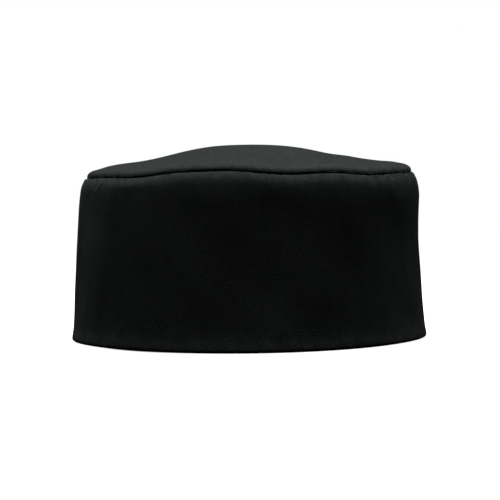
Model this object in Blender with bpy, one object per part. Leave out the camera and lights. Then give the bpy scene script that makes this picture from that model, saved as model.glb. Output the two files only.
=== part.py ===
"""Low pillbox chef hat in black cotton twill, standing on its hem.

The hat stands on Z = 0 with its axis on Z. Its front faces -Y, and its adjusting slit is at +Y.
Constants are in metres: MM turns millimetres into metres. A place on the side band is given by
its distance s round the band from the centre back, positive towards -X, and by its height z.
"""

import math

import bmesh
import bpy
from mathutils import Vector

MM = 0.001
SEGMENTS = 40  # facets in a full turn

# Side band, outer face
HEM_RADIUS = 94.6 * MM
WALL_TOP_RADIUS = 90.9 * MM
WALL_TOP = 76.0 * MM  # where the shoulder starts to roll inwards
TAPER_POWER = 1.6  # how early the flare towards the hem dies out
SHOULDER_TOP = 88.5 * MM
SHOULDER_TOP_RADIUS = 87.2 * MM
SEAM_ROLL = 0.8 * MM  # radius at which the cloth turns down into the crown seam
HEM_ROLL = 0.8 * MM  # outer radius of the hem fold

# Crown, outer face
DOME_TOP = 104.4 * MM
DOME_EDGE = 93.4 * MM
DOME_RADIUS = 80.0 * MM
DOME_POWER = 1.5
CROWN_RADIUS = 87.6 * MM
CROWN_WIDEST = 90.2 * MM  # height at which the crown's edge stands out furthest
CROWN_TUCK = 1.0 * MM
CROWN_LINING_REACH = 4.5 * MM  # how far the lining's edge stands out past the dome
CROWN_LINING_TURN = 88.0 * MM  # height where the lining's edge has turned down
CROWN_LINING_FOOT = 83.0 * MM

# Cloth
GAP = 0.3 * MM  # left between any two pieces
TWILL = 0.5 * MM
STIFFENER = 1.0 * MM
INTERFACING = 0.4 * MM
LINING = 0.4 * MM
TERRY = 0.8 * MM
BINDING = 0.45 * MM
THREAD_RADIUS = 0.15 * MM
THREAD_GAP = 0.15 * MM  # between a line of stitching and the cloth it lies on
SEAM_ALLOWANCE_END = 79.0 * MM  # lower edge of the allowances that hang inside
SEAM_TAPE_HEIGHT = 5.0 * MM
CROWN_SEAM_STITCHES = 86.5 * MM
HEM_TURN_UP = 12.0 * MM
STIFFENER_FOOT = 1.2 * MM
LINING_FOOT = 1.5 * MM
SWEATBAND_FOOT = 2.5 * MM
SWEATBAND_TOP = 34.5 * MM
STEP_LOW = SWEATBAND_TOP + 1.5 * MM  # the slit's binding steps outwards between these heights
STEP_HIGH = SWEATBAND_TOP + 8.0 * MM

# Depth of each wall layer's outer side behind the band's outer face
STIFFENER_DEPTH = TWILL + GAP
TURN_UP_DEPTH = STIFFENER_DEPTH + STIFFENER + GAP
LINING_DEPTH = TURN_UP_DEPTH + TWILL + GAP
SWEATBAND_DEPTH = LINING_DEPTH + LINING + GAP
WALL_DEPTH = SWEATBAND_DEPTH + TERRY

# Back slit
SLIT_HALF_FOOT = 6.0 * MM
SLIT_HALF_TOP = 1.8 * MM
SLIT_STRAIGHT = 54.0 * MM  # height where the round top starts
BINDING_REACH = 5.0 * MM

# Closure tab
TAB_LOW = 7.0 * MM
TAB_HIGH = 29.0 * MM
BASE_START = -36.0 * MM
HINGE_S = -17.0 * MM
TAB_END = 46.0 * MM
TAB_CORNER = 6.0 * MM
HINGE_CLEARANCE = 0.25 * MM
TAPE = 0.7 * MM
TAPE_INSET = 2.0 * MM
HOOK_START = 15.0 * MM
HOOK_END = 43.0 * MM
LOOP_START = 14.0 * MM
LOOP_END = 58.0 * MM
STITCH_INSET = 2.5 * MM

# Care label, inside above the slit
LABEL_LOW = 62.0 * MM
LABEL_HIGH = 75.0 * MM
LABEL_HALF = 12.0 * MM
LABEL_RIM = 1.0 * MM  # from its edge to its stitching

BLACK_TWILL = ("black_twill", (0.012, 0.013, 0.013), 0.85)
BLACK_POPLIN = ("black_poplin", (0.016, 0.016, 0.017), 0.8)
GREY_NONWOVEN = ("grey_nonwoven", (0.12, 0.12, 0.12), 0.9)
BLACK_TERRY = ("black_terry", (0.02, 0.02, 0.02), 0.95)
BLACK_THREAD = ("black_thread", (0.02, 0.02, 0.02), 0.6)
BLACK_HOOK = ("black_hook_tape", (0.015, 0.015, 0.015), 0.5)
BLACK_LOOP = ("black_loop_tape", (0.018, 0.018, 0.018), 0.95)
WHITE_SATIN = ("white_satin", (0.7, 0.7, 0.68), 0.4)


def clear_scene():
    for obj in list(bpy.data.objects):
        bpy.data.objects.remove(obj)


def material(finish):
    name, colour, roughness = finish
    found = bpy.data.materials.get(name)
    if found:
        return found
    made = bpy.data.materials.new(name)
    made.use_nodes = True
    shader = made.node_tree.nodes["Principled BSDF"]
    shader.inputs["Base Color"].default_value = (*colour, 1.0)
    shader.inputs["Roughness"].default_value = roughness
    shader.inputs["Metallic"].default_value = 0.0
    return made


def add_mesh(name, bm, finish):
    """A smooth-shaded object from a closed bmesh, with its faces turned outwards."""
    bmesh.ops.recalc_face_normals(bm, faces=bm.faces)
    mesh = bpy.data.meshes.new(name)
    bm.to_mesh(mesh)
    bm.free()
    mesh.shade_smooth()
    mesh.set_sharp_from_angle(angle=math.radians(40))
    mesh.materials.append(material(finish))
    obj = bpy.data.objects.new(name, mesh)
    bpy.context.collection.objects.link(obj)
    return obj


def spaced(start, end, count):
    """count values from start to end, both included."""
    return [start + (end - start) * i / (count - 1) for i in range(count)]


def arc(centre, radius, start, end, count, squeeze=1.0):
    """Points on an arc from start to end degrees; squeeze scales its height."""
    turns = [math.radians(a) for a in spaced(start, end, count)]
    return [
        (centre[0] + radius * math.cos(a), centre[1] + radius * squeeze * math.sin(a))
        for a in turns
    ]


def wall_radius(z):
    """Radius of the side band's outer face at height z."""
    if z > WALL_TOP:
        rise = min((z - WALL_TOP) / (SHOULDER_TOP - WALL_TOP), 1.0)
        width = WALL_TOP_RADIUS - SHOULDER_TOP_RADIUS
        return SHOULDER_TOP_RADIUS + width * math.sqrt(1.0 - rise * rise)
    flare = max(1.0 - z / WALL_TOP, 0.0) ** TAPER_POWER
    return WALL_TOP_RADIUS + (HEM_RADIUS - WALL_TOP_RADIUS) * flare


def dome_height(r):
    """Height of the crown's outer face at radius r, inside its rolled edge."""
    flat = max(1.0 - (r / DOME_RADIUS) ** 2, 0.0) ** DOME_POWER
    return DOME_EDGE + (DOME_TOP - DOME_EDGE) * flat


def thicken(path, thickness):
    """Closed outline of a cloth whose right side is path and whose back is thickness to its left."""
    back = []
    for i, (r, z) in enumerate(path):
        before, after = path[max(i - 1, 0)], path[min(i + 1, len(path) - 1)]
        entry = Vector((r - before[0], z - before[1])).normalized()
        leave = Vector((after[0] - r, after[1] - z)).normalized()
        along = (entry + leave).normalized()
        bend = max(along.dot(leave) if i < len(path) - 1 else along.dot(entry), 0.5)
        step = thickness / bend
        back.append((r - along.y * step if r > 0 else 0.0, z + along.x * step))
    return path + back[::-1]


def turned(name, outline, finish):
    """The closed (radius, height) outline turned once round the Z axis."""
    bm = bmesh.new()
    corners = [bm.verts.new((r, 0.0, z)) for r, z in outline]
    edges = [
        bm.edges.new((a, b)) for a, b in zip(corners, corners[1:] + corners[:1])
    ]
    bmesh.ops.spin(
        bm,
        geom=corners + edges,
        cent=(0.0, 0.0, 0.0),
        axis=(0.0, 0.0, 1.0),
        angle=2 * math.pi,
        steps=SEGMENTS,
        use_merge=True,
    )
    bmesh.ops.remove_doubles(bm, verts=bm.verts, dist=0.001 * MM)
    return add_mesh(name, bm, finish)


def wall_layer(low, high, depth, thickness, count):
    """Outline of a layer that lies depth behind the band's outer face."""
    heights = spaced(low, high, count)
    near = [(wall_radius(z) - depth, z) for z in heights]
    far = [(wall_radius(z) - depth - thickness, z) for z in reversed(heights)]
    return near + far


def round_back(s, z, proud):
    """The point at s round the band, at height z and proud of its outer face."""
    turn = s / HEM_RADIUS
    r = wall_radius(z) + proud
    return Vector((-r * math.sin(turn), r * math.cos(turn), z))


def thread(name, points, cyclic=False):
    """A run of stitching as one round thread through the points."""
    curve = bpy.data.curves.new(name, "CURVE")
    curve.dimensions = "3D"
    curve.bevel_depth = THREAD_RADIUS
    curve.bevel_resolution = 0
    curve.use_fill_caps = True
    spline = curve.splines.new("POLY")
    spline.points.add(len(points) - 1)
    for spot, p in zip(spline.points, points):
        spot.co = (*p, 1.0)
    spline.use_cyclic_u = cyclic
    curve.materials.append(material(BLACK_THREAD))
    obj = bpy.data.objects.new(name, curve)
    bpy.context.collection.objects.link(obj)
    return obj


def thread_ring(name, radius, z, gap_half=0.0):
    """Stitching round the hat, open across the back where gap_half is given."""
    start = gap_half / radius
    if not gap_half:
        turns = spaced(0.0, 2 * math.pi, SEGMENTS + 1)[:-1]
    else:
        turns = spaced(start, 2 * math.pi - start, SEGMENTS)
    points = [(-radius * math.sin(t), radius * math.cos(t), z) for t in turns]
    return thread(name, points, cyclic=not gap_half)


def slab(name, columns, rows, inner, outer, finish):
    """A cloth patch on the band's outer face.

    columns are (s, low, high), and inner and outer give how proud each side is at s.
    """
    bm = bmesh.new()
    sides = []
    for level in (inner, outer):
        grid = []
        for s, low, high in columns:
            grid.append(
                [bm.verts.new(round_back(s, z, level(s))) for z in spaced(low, high, rows)]
            )
        sides.append(grid)
    under, over = sides
    last_column, last_row = len(columns) - 1, rows - 1
    for i in range(last_column):
        for j in range(last_row):
            for grid in sides:
                corners = grid[i][j], grid[i + 1][j], grid[i + 1][j + 1], grid[i][j + 1]
                bm.faces.new(corners)
        for j in (0, last_row):
            bm.faces.new((under[i][j], under[i + 1][j], over[i + 1][j], over[i][j]))
    for i in (0, last_column):
        for j in range(last_row):
            bm.faces.new((under[i][j], under[i][j + 1], over[i][j + 1], over[i][j]))
    return add_mesh(name, bm, finish)


def plain_columns(start, end, low, high, step=5.0 * MM):
    count = max(round((end - start) / step), 1) + 1
    return [(s, low, high) for s in spaced(start, end, count)]


def rounded_columns(start, end, low, high, corner):
    """Columns of a strap whose far end has two round corners."""
    columns = plain_columns(start, end - corner, low, high)
    for turn in spaced(15.0, 75.0, 5):
        a = math.radians(turn)
        cut = corner * (1.0 - math.cos(a))
        columns.append((end - corner + corner * math.sin(a), low + cut, high - cut))
    columns.append((end, low + 0.85 * corner, high - 0.85 * corner))
    return columns


def ease(s, start, end):
    """0 before start, 1 after end, smooth between."""
    t = min(max((s - start) / (end - start), 0.0), 1.0)
    return t * t * (3.0 - 2.0 * t)


def tab_level(s):
    """How proud the tab's underside is: flat where sewn, over the binding, then over the tapes."""
    over_binding = GAP + BINDING + THREAD_GAP + 2 * THREAD_RADIUS + GAP
    over_tapes = 2 * TAPE + 3 * GAP
    climb = ease(s, HINGE_S + 1 * MM, HINGE_S + 6 * MM)
    second = ease(s, HOOK_START - 7 * MM, HOOK_START - 1 * MM)
    return GAP + (over_binding - GAP) * climb + (over_tapes - over_binding) * second


def outer_level(s):
    """How proud the tab's outer face is."""
    return tab_level(s) + LINING + GAP + TWILL


def band_path():
    """Right side of the band's cloth: up the hem's inside, round the fold, up to the crown seam."""
    inner_face = TURN_UP_DEPTH + TWILL
    inside = wall_radius(HEM_ROLL) - inner_face
    outside = wall_radius(HEM_ROLL)
    path = [(wall_radius(HEM_TURN_UP) - inner_face, HEM_TURN_UP)]
    path += arc((inside + HEM_ROLL, HEM_ROLL), HEM_ROLL, 180, 270, 3)
    path += arc((outside - HEM_ROLL, HEM_ROLL), HEM_ROLL, 270, 360, 3)
    path += [(wall_radius(z), z) for z in spaced(14 * MM, WALL_TOP, 5)]
    shoulder = WALL_TOP_RADIUS - SHOULDER_TOP_RADIUS
    rise = (SHOULDER_TOP - WALL_TOP) / shoulder
    path += arc((SHOULDER_TOP_RADIUS, WALL_TOP), shoulder, 22.5, 90, 4, rise)
    path += arc((SHOULDER_TOP_RADIUS, SHOULDER_TOP - SEAM_ROLL), SEAM_ROLL, 120, 180, 3)
    path.append((SHOULDER_TOP_RADIUS - SEAM_ROLL, SEAM_ALLOWANCE_END))
    return path


def crown_path():
    """Right side of the crown: up from its allowance, round its rolled edge and in to its centre."""
    face = SHOULDER_TOP_RADIUS - SEAM_ROLL - GAP
    fillet = 0.5 * MM
    tuck_foot = CROWN_WIDEST - CROWN_TUCK
    edge = CROWN_RADIUS - DOME_RADIUS
    squeeze = (DOME_EDGE - CROWN_WIDEST) / edge
    path = [(face, SEAM_ALLOWANCE_END)]
    path += arc((face + fillet, tuck_foot - fillet), fillet, 180, 90, 3)
    path += arc((CROWN_RADIUS - CROWN_TUCK, CROWN_WIDEST), CROWN_TUCK, 300, 345, 2)
    path += arc((DOME_RADIUS, CROWN_WIDEST), edge, 15, 70, 4, squeeze)
    path += [(r, dome_height(r)) for r in spaced(DOME_RADIUS - 5 * MM, 0.0, 7)]
    return path


def make_crown():
    turned("crown_panel", thicken(crown_path(), TWILL), BLACK_TWILL)
    under = TWILL + GAP
    radii = spaced(0.0, DOME_RADIUS - 5 * MM, 7)
    top = [(r, dome_height(r) - under) for r in radii]
    foot = [(r, z - INTERFACING) for r, z in reversed(top)]
    turned("crown_interfacing", top + foot, GREY_NONWOVEN)

    depth = under + INTERFACING + GAP
    squeeze = (DOME_EDGE - depth - CROWN_LINING_TURN) / CROWN_LINING_REACH
    path = [(DOME_RADIUS + CROWN_LINING_REACH, CROWN_LINING_FOOT)]
    path += arc((DOME_RADIUS, CROWN_LINING_TURN), CROWN_LINING_REACH, 0, 60, 3, squeeze)
    path += [(r, dome_height(r) - depth) for r in spaced(DOME_RADIUS - 5 * MM, 0.0, 7)]
    turned("crown_lining", thicken(path, LINING), BLACK_POPLIN)


def make_crown_seam():
    """Bias tape round both raw edges, and the seam's own line of stitching."""
    band_side = SHOULDER_TOP_RADIUS - SEAM_ROLL + TWILL + GAP
    crown_side = SHOULDER_TOP_RADIUS - SEAM_ROLL - GAP - TWILL - GAP
    foot = SEAM_ALLOWANCE_END - GAP
    top = SEAM_ALLOWANCE_END + SEAM_TAPE_HEIGHT
    outline = [
        (crown_side - LINING, top),
        (crown_side - LINING, foot - LINING),
        (band_side + LINING, foot - LINING),
        (band_side + LINING, top),
        (band_side, top),
        (band_side, foot),
        (crown_side, foot),
        (crown_side, top),
    ]
    turned("crown_seam_tape", outline, BLACK_POPLIN)
    thread_ring("crown_seam_stitching", crown_side - THREAD_RADIUS, CROWN_SEAM_STITCHES)


def slit_outline():
    """(x, z, nx, nz) along the slit's edge; the normal points into the cloth."""
    lean = math.atan2(SLIT_HALF_FOOT - SLIT_HALF_TOP, SLIT_STRAIGHT)
    rows = []
    for z in (1.0 * MM, 18 * MM, STEP_LOW, STEP_HIGH, SLIT_STRAIGHT):
        half = SLIT_HALF_FOOT + (SLIT_HALF_TOP - SLIT_HALF_FOOT) * z / SLIT_STRAIGHT
        rows.append((half, z, math.cos(lean), math.sin(lean)))
    for turn in spaced(22.5, 90.0, 4):
        a = math.radians(turn)
        c, s = math.cos(a), math.sin(a)
        rows.append((SLIT_HALF_TOP * c, SLIT_STRAIGHT + SLIT_HALF_TOP * s, c, s))
    return rows + [(-x, z, -nx, nz) for x, z, nx, nz in reversed(rows[:-1])]


def cut_slit(objects):
    """Opens the back slit in the given wall layers."""
    bm = bmesh.new()
    outline = slit_outline()
    foot = [(SLIT_HALF_FOOT, -2 * MM), (-SLIT_HALF_FOOT, -2 * MM)]
    ring = [(x, z) for x, z, _, _ in outline]
    points = [foot[0]] + ring + [foot[1]]
    near = [bm.verts.new((x, HEM_RADIUS - 15 * MM, z)) for x, z in points]
    face = bm.faces.new(near)
    deep = bmesh.ops.extrude_face_region(bm, geom=[face])
    moved = [v for v in deep["geom"] if isinstance(v, bmesh.types.BMVert)]
    bmesh.ops.translate(bm, verts=moved, vec=(0.0, 25 * MM, 0.0))
    cutter = add_mesh("slit_cutter", bm, BLACK_TWILL)
    cutter.hide_render = True
    cutter.display_type = "WIRE"
    for obj in objects:
        cut = obj.modifiers.new("slit", "BOOLEAN")
        cut.operation = "DIFFERENCE"
        cut.object = cutter


def inner_face_depth(z):
    """Depth of the wall's innermost face: the sweatband's, and the lining's above it."""
    above = ease(z, STEP_LOW, STEP_HIGH)
    return WALL_DEPTH + GAP + (LINING_DEPTH + LINING - WALL_DEPTH) * above


def slit_point(edge, offset, proud):
    """A point offset into the cloth from the slit's edge, at a depth through the wall."""
    x, z, nx, nz = edge
    x, z = x + nx * offset, z + nz * offset
    r = wall_radius(z) + proud
    return Vector((x, math.sqrt(r * r - x * x), z))


def make_slit_binding():
    """One bias strip folded over the slit's raw edge, up one side and down the other."""
    bm = bmesh.new()
    rings = []
    lip, face = -GAP * 2 / 3, -GAP * 2 / 3 - BINDING
    for edge in slit_outline():
        inner = -inner_face_depth(edge[1])
        section = [
            (BINDING_REACH, GAP + BINDING),
            (face, GAP + BINDING),
            (face, inner - BINDING),
            (BINDING_REACH, inner - BINDING),
            (BINDING_REACH, inner),
            (lip, inner),
            (lip, GAP),
            (BINDING_REACH, GAP),
        ]
        rings.append([bm.verts.new(slit_point(edge, d, level)) for d, level in section])
    sides = len(rings[0])
    for ring, after in zip(rings, rings[1:]):
        for j in range(sides):
            k = (j + 1) % sides
            bm.faces.new((ring[j], ring[k], after[k], after[j]))
    for ring in (rings[0], rings[-1]):
        for strip in ((0, 1, 6, 7), (1, 2, 5, 6), (2, 3, 4, 5)):
            bm.faces.new([ring[i] for i in strip])
    add_mesh("slit_binding", bm, BLACK_TWILL)

    proud = GAP + BINDING + THREAD_GAP + THREAD_RADIUS
    inset = BINDING_REACH - 1.2 * MM
    path = [slit_point(edge, inset, proud) for edge in slit_outline()]
    thread("slit_binding_stitching", path)

    bar_z = SLIT_STRAIGHT + SLIT_HALF_TOP + 1.8 * MM
    half, tall = 2.4 * MM, 0.7 * MM
    columns = plain_columns(-half, half, bar_z - tall, bar_z + tall, 2 * MM)
    levels = (lambda s: proud - THREAD_RADIUS, lambda s: proud + THREAD_RADIUS)
    slab("slit_bartack", columns, 2, *levels, BLACK_THREAD)


def make_wall():
    """The side band and the layers behind it."""
    band = turned("side_band", thicken(band_path(), TWILL), BLACK_TWILL)
    stiffener = wall_layer(STIFFENER_FOOT, WALL_TOP, STIFFENER_DEPTH, STIFFENER, 5)
    lining = wall_layer(LINING_FOOT, WALL_TOP, LINING_DEPTH, LINING, 5)
    sweat = wall_layer(SWEATBAND_FOOT, SWEATBAND_TOP, SWEATBAND_DEPTH, TERRY, 3)
    layers = [
        band,
        turned("band_stiffener", stiffener, GREY_NONWOVEN),
        turned("band_lining", lining, BLACK_POPLIN),
        turned("sweatband", sweat, BLACK_TERRY),
    ]
    cut_slit(layers)
    clear_of_slit = SLIT_HALF_FOOT + BINDING_REACH + 2 * MM
    for name, z in (
        ("sweatband_hem_stitching", SWEATBAND_FOOT + STITCH_INSET),
        ("sweatband_top_stitching", SWEATBAND_TOP - STITCH_INSET),
    ):
        radius = wall_radius(z) - WALL_DEPTH - GAP - THREAD_RADIUS
        thread_ring(name, radius, z, clear_of_slit)


def make_care_label():
    """Blank woven label on the lining above the slit, held by a stitched rectangle."""
    back = -(LINING_DEPTH + LINING) - 1.5 * GAP
    front = back - LINING
    columns = plain_columns(-LABEL_HALF, LABEL_HALF, LABEL_LOW, LABEL_HIGH, 4 * MM)
    slab("care_label", columns, 2, lambda s: front, lambda s: back, WHITE_SATIN)
    rim = front - GAP - THREAD_RADIUS
    half = LABEL_HALF - LABEL_RIM
    frame = rectangle(-half, half, LABEL_LOW + LABEL_RIM, LABEL_HIGH - LABEL_RIM)
    thread("care_label_stitching", [round_back(s, z, rim) for s, z in frame], True)


def rectangle(start, end, low, high, step=6.0 * MM):
    """Points round a rectangle, close enough together along s to follow the band."""
    count = max(round((end - start) / step), 1) + 1
    along = spaced(start, end, count)
    return [(s, low) for s in along] + [(s, high) for s in reversed(along)]


def make_tab_base():
    """The tab's sewn end and the loop tape, both fixed to the band."""
    columns = plain_columns(BASE_START, HINGE_S - HINGE_CLEARANCE, TAB_LOW, TAB_HIGH)
    slab("tab_base", columns, 4, lambda s: GAP, outer_level, BLACK_TWILL)
    inset = STITCH_INSET
    frame = rectangle(
        BASE_START + inset, HINGE_S - inset, TAB_LOW + inset, TAB_HIGH - inset
    )
    proud = outer_level(HINGE_S) + GAP + THREAD_RADIUS
    thread("tab_base_stitching", [round_back(s, z, proud) for s, z in frame], True)

    low, high = TAB_LOW + TAPE_INSET, TAB_HIGH - TAPE_INSET
    columns = plain_columns(LOOP_START, LOOP_END, low, high)
    slab("loop_tape", columns, 4, lambda s: GAP, lambda s: GAP + TAPE, BLACK_LOOP)
    proud = 2 * GAP + TAPE + THREAD_RADIUS
    bare = HOOK_END + 4 * MM
    row = [(LOOP_END - MM, low + MM), (LOOP_END - MM, high - MM)]
    frame = [(bare, low + MM)] + row + [(bare, high - MM)]
    thread("loop_tape_stitching", [round_back(s, z, proud) for s, z in frame])


def hinge_place():
    """The middle of the tab's fold line."""
    low = round_back(HINGE_S, TAB_LOW, outer_level(HINGE_S))
    high = round_back(HINGE_S, TAB_HIGH, outer_level(HINGE_S))
    return (low + high) / 2


def make_tab():
    """The tab's free end, which peels off the loop tape about its fold line."""
    start = HINGE_S + HINGE_CLEARANCE
    shape = (start, TAB_END, TAB_LOW, TAB_HIGH, TAB_CORNER)
    columns = rounded_columns(*shape)
    facing = slab(
        "tab_facing", columns, 4, tab_level, lambda s: tab_level(s) + LINING, BLACK_POPLIN
    )
    outer = slab(
        "tab_outer", columns, 4, lambda s: outer_level(s) - TWILL, outer_level, BLACK_TWILL
    )
    low, high = TAB_LOW + TAPE_INSET, TAB_HIGH - TAPE_INSET
    hook = slab(
        "hook_tape",
        rounded_columns(HOOK_START, HOOK_END, low, high, TAB_CORNER - TAPE_INSET),
        4,
        lambda s: 2 * GAP + TAPE,
        lambda s: 2 * GAP + 2 * TAPE,
        BLACK_HOOK,
    )
    inset = STITCH_INSET
    edge = rounded_columns(
        start + MM, TAB_END - inset, TAB_LOW + inset, TAB_HIGH - inset, TAB_CORNER - inset
    )
    path = [(s, below) for s, below, _ in edge] + [(s, above) for s, _, above in edge[::-1]]
    raised = GAP + THREAD_RADIUS
    stitches = thread(
        "tab_topstitching", [round_back(s, z, outer_level(s) + raised) for s, z in path], True
    )

    hinge = bpy.data.objects.new("closure_tab_hinge", None)
    hinge.location = hinge_place()
    bpy.context.collection.objects.link(hinge)
    bpy.context.view_layer.update()
    for piece in (facing, outer, hook, stitches):
        piece.parent = hinge
        piece.matrix_parent_inverse = hinge.matrix_world.inverted()


def main():
    clear_scene()
    make_crown()
    make_crown_seam()
    make_wall()
    make_slit_binding()
    make_care_label()
    make_tab_base()
    make_tab()


main()
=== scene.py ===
"""Looks of the low black chef hat: its cloth, stitching and tapes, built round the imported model.

Everything is in metres, in the model's own frame: the hat stands on Z = 0 with its axis on Z, its
front faces -Y and its slit is at +Y. Angles run round the hat from the front, positive towards +X.
A place on the closure at the back is given by its distance s round the band from the centre back,
positive towards -X, and by its height. Each layer is first laid on an evenly turned hat, and
settle() then moves it to where a sewn hat that has been worn and set down has it.
"""

import math

import bpy
import numpy as np
from mathutils import Matrix, Vector


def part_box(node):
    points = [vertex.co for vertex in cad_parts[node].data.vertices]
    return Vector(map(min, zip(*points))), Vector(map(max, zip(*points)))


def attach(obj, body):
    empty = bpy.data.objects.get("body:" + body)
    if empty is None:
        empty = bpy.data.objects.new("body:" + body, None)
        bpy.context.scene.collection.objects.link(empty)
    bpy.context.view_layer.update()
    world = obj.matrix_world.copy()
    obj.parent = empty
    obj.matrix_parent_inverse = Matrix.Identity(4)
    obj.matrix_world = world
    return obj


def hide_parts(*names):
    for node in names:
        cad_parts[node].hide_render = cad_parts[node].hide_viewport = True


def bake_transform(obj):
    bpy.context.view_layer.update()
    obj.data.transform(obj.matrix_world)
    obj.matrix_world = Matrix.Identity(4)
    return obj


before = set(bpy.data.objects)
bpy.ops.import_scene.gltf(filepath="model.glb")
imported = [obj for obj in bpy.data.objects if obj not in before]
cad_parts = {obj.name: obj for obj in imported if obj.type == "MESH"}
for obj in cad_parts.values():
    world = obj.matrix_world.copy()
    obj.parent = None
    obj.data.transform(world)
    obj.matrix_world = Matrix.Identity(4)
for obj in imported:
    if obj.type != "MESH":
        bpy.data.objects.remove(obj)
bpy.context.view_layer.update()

MM = 0.001
BAND_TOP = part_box("side_band")[1]
CROWN_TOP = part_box("crown_panel")[1]
TAB_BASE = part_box("tab_base")
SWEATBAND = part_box("sweatband")

# Side band, outer face of the evenly turned hat
HEM_RADIUS = BAND_TOP.x
SHOULDER_TOP = BAND_TOP.z
WALL_TOP = SHOULDER_TOP - 12.5 * MM
WALL_TOP_RADIUS = HEM_RADIUS - 3.7 * MM
SHOULDER_TOP_RADIUS = HEM_RADIUS - 7.4 * MM
TAPER_POWER = 1.6
SEAM_ROLL = 0.8 * MM
SHOULDER_LEAN = math.radians(40)  # how far the band leans in where it rolls over into the seam
SHOULDER_FOOT_RADIUS = SHOULDER_TOP_RADIUS + SEAM_ROLL * math.cos(SHOULDER_LEAN)
SHOULDER_END = SHOULDER_TOP - SEAM_ROLL * (1.0 - math.sin(SHOULDER_LEAN))
SHOULDER_WIDTH = WALL_TOP_RADIUS - SHOULDER_FOOT_RADIUS
SHOULDER_POWER = math.tan(SHOULDER_LEAN) * (SHOULDER_END - WALL_TOP) / SHOULDER_WIDTH
HEM_ROLL = 0.6 * MM
SEAM_ALLOWANCE_END = SHOULDER_TOP - 9.5 * MM
HEM_TURN_UP = 12.0 * MM

# Crown, outer face
DOME_TOP = CROWN_TOP.z
DOME_EDGE = DOME_TOP - 11.0 * MM
DOME_RADIUS = 80.0 * MM
DOME_POWER = 1.5
CROWN_RADIUS = SHOULDER_TOP_RADIUS - 0.2 * MM
CROWN_WIDEST = SHOULDER_TOP + 0.95 * MM
CROWN_TUCK = 0.6 * MM

# Cloth thicknesses, and each wall layer's depth behind the band's outer face
GAP = 0.3 * MM
TWILL = 0.5 * MM
STIFFENER = 1.0 * MM
INTERFACING = 0.4 * MM
LINING = 0.4 * MM
TERRY = 0.8 * MM
BINDING = 0.45 * MM
TAPE = 0.7 * MM
STIFFENER_DEPTH = TWILL + GAP
TURN_UP_DEPTH = STIFFENER_DEPTH + STIFFENER + GAP
LINING_DEPTH = TURN_UP_DEPTH + TWILL + GAP
SWEATBAND_DEPTH = LINING_DEPTH + LINING + GAP
WALL_DEPTH = SWEATBAND_DEPTH + TERRY
SWEATBAND_FOOT = SWEATBAND[0].z
SWEATBAND_TOP = SWEATBAND[1].z

# Back slit and closure tab
SLIT_HALF_FOOT = 6.0 * MM
SLIT_HALF_TOP = 1.8 * MM
SLIT_STRAIGHT = 54.0 * MM
BACK_SEAM_HALF = 0.06 * MM
BINDING_REACH = 5.0 * MM
BINDING_EDGE_POINT = 10  # the point of the binding's section that lies on its folded edge
TAB_LOW = TAB_BASE[0].z
TAB_HIGH = TAB_BASE[1].z
BASE_START = -36.0 * MM
HINGE_S = -17.0 * MM
TAB_END = 46.0 * MM
TAB_CORNER = 6.0 * MM
TAPE_INSET = 2.0 * MM
HOOK_START = 15.0 * MM
HOOK_END = 43.0 * MM
LOOP_START = 14.0 * MM
LOOP_END = 58.0 * MM
STITCH_INSET = 2.5 * MM
STITCH_GROOVE = 0.42 * MM  # half width of the dent that a row of stitches pulls into the tab

# Mesh density
COLUMNS = 276
REFINE = 4  # a fine row has this many steps for each step of a coarse row

# Sewing
SEAM_STITCH = 2.9 * MM  # length of the crown seam's stitches
TUCK_PITCH = 5.8 * MM  # of the small tucks where the crown seam is gathered
STITCH_PITCH = 2.6 * MM
THREAD_RADIUS = 0.16 * MM


def smooth(value, start, end):
    """0 before start, 1 after end, eased between."""
    t = np.clip((np.asarray(value, float) - start) / (end - start), 0.0, 1.0)
    return t * t * (3.0 - 2.0 * t)


def bell(value, centre, width):
    """1 at centre, falling off smoothly over about width on either side."""
    return np.exp(-((value - centre) / width) ** 2)


def bumps(angle, places):
    """A sum of round bumps, each (degrees from the front, degrees wide, height)."""
    total = np.zeros_like(np.asarray(angle, float))
    for centre, width, height in places:
        off = (np.degrees(angle) - centre + 180.0) % 360.0 - 180.0
        total = total + height * np.exp(-0.5 * (off / width) ** 2)
    return total


def ripples(seed, fewest, most, count, lean=0.0):
    """Random waves round the hat, of fewest to most in a turn; lean tilts them, in radians a metre."""
    rng = np.random.default_rng(seed)
    waves = [
        (int(rng.integers(fewest, most + 1)), rng.uniform(0, 2 * math.pi), rng.normal() * lean)
        for _ in range(count)
    ]

    def at(angle, height=0.0):
        total = sum(np.cos(k * angle + phase + tilt * height) for k, phase, tilt in waves)
        return total * math.sqrt(2.0 / count)

    return at


# Unevenness of the hand-sewn hat: the seed, then how many waves go round, and how many are mixed
wall_waves = ripples(3, 4, 17, 9, lean=40.0)
fine_waves = ripples(5, 22, 46, 8, lean=60.0)
crown_waves = ripples(11, 3, 12, 7)
gather_waves = ripples(17, 34, 74, 12, lean=90.0)
crease_waves = ripples(23, 60, 130, 10)
strength_waves = ripples(29, 5, 19, 7)
stitch_drift = ripples(31, 3, 23, 7)
inner_waves = ripples(37, 14, 52, 9, lean=120.0)
lip_waves = ripples(43, 12, 120, 14)


# ---------------------------------------------------------------- shape of the sewn hat

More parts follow.
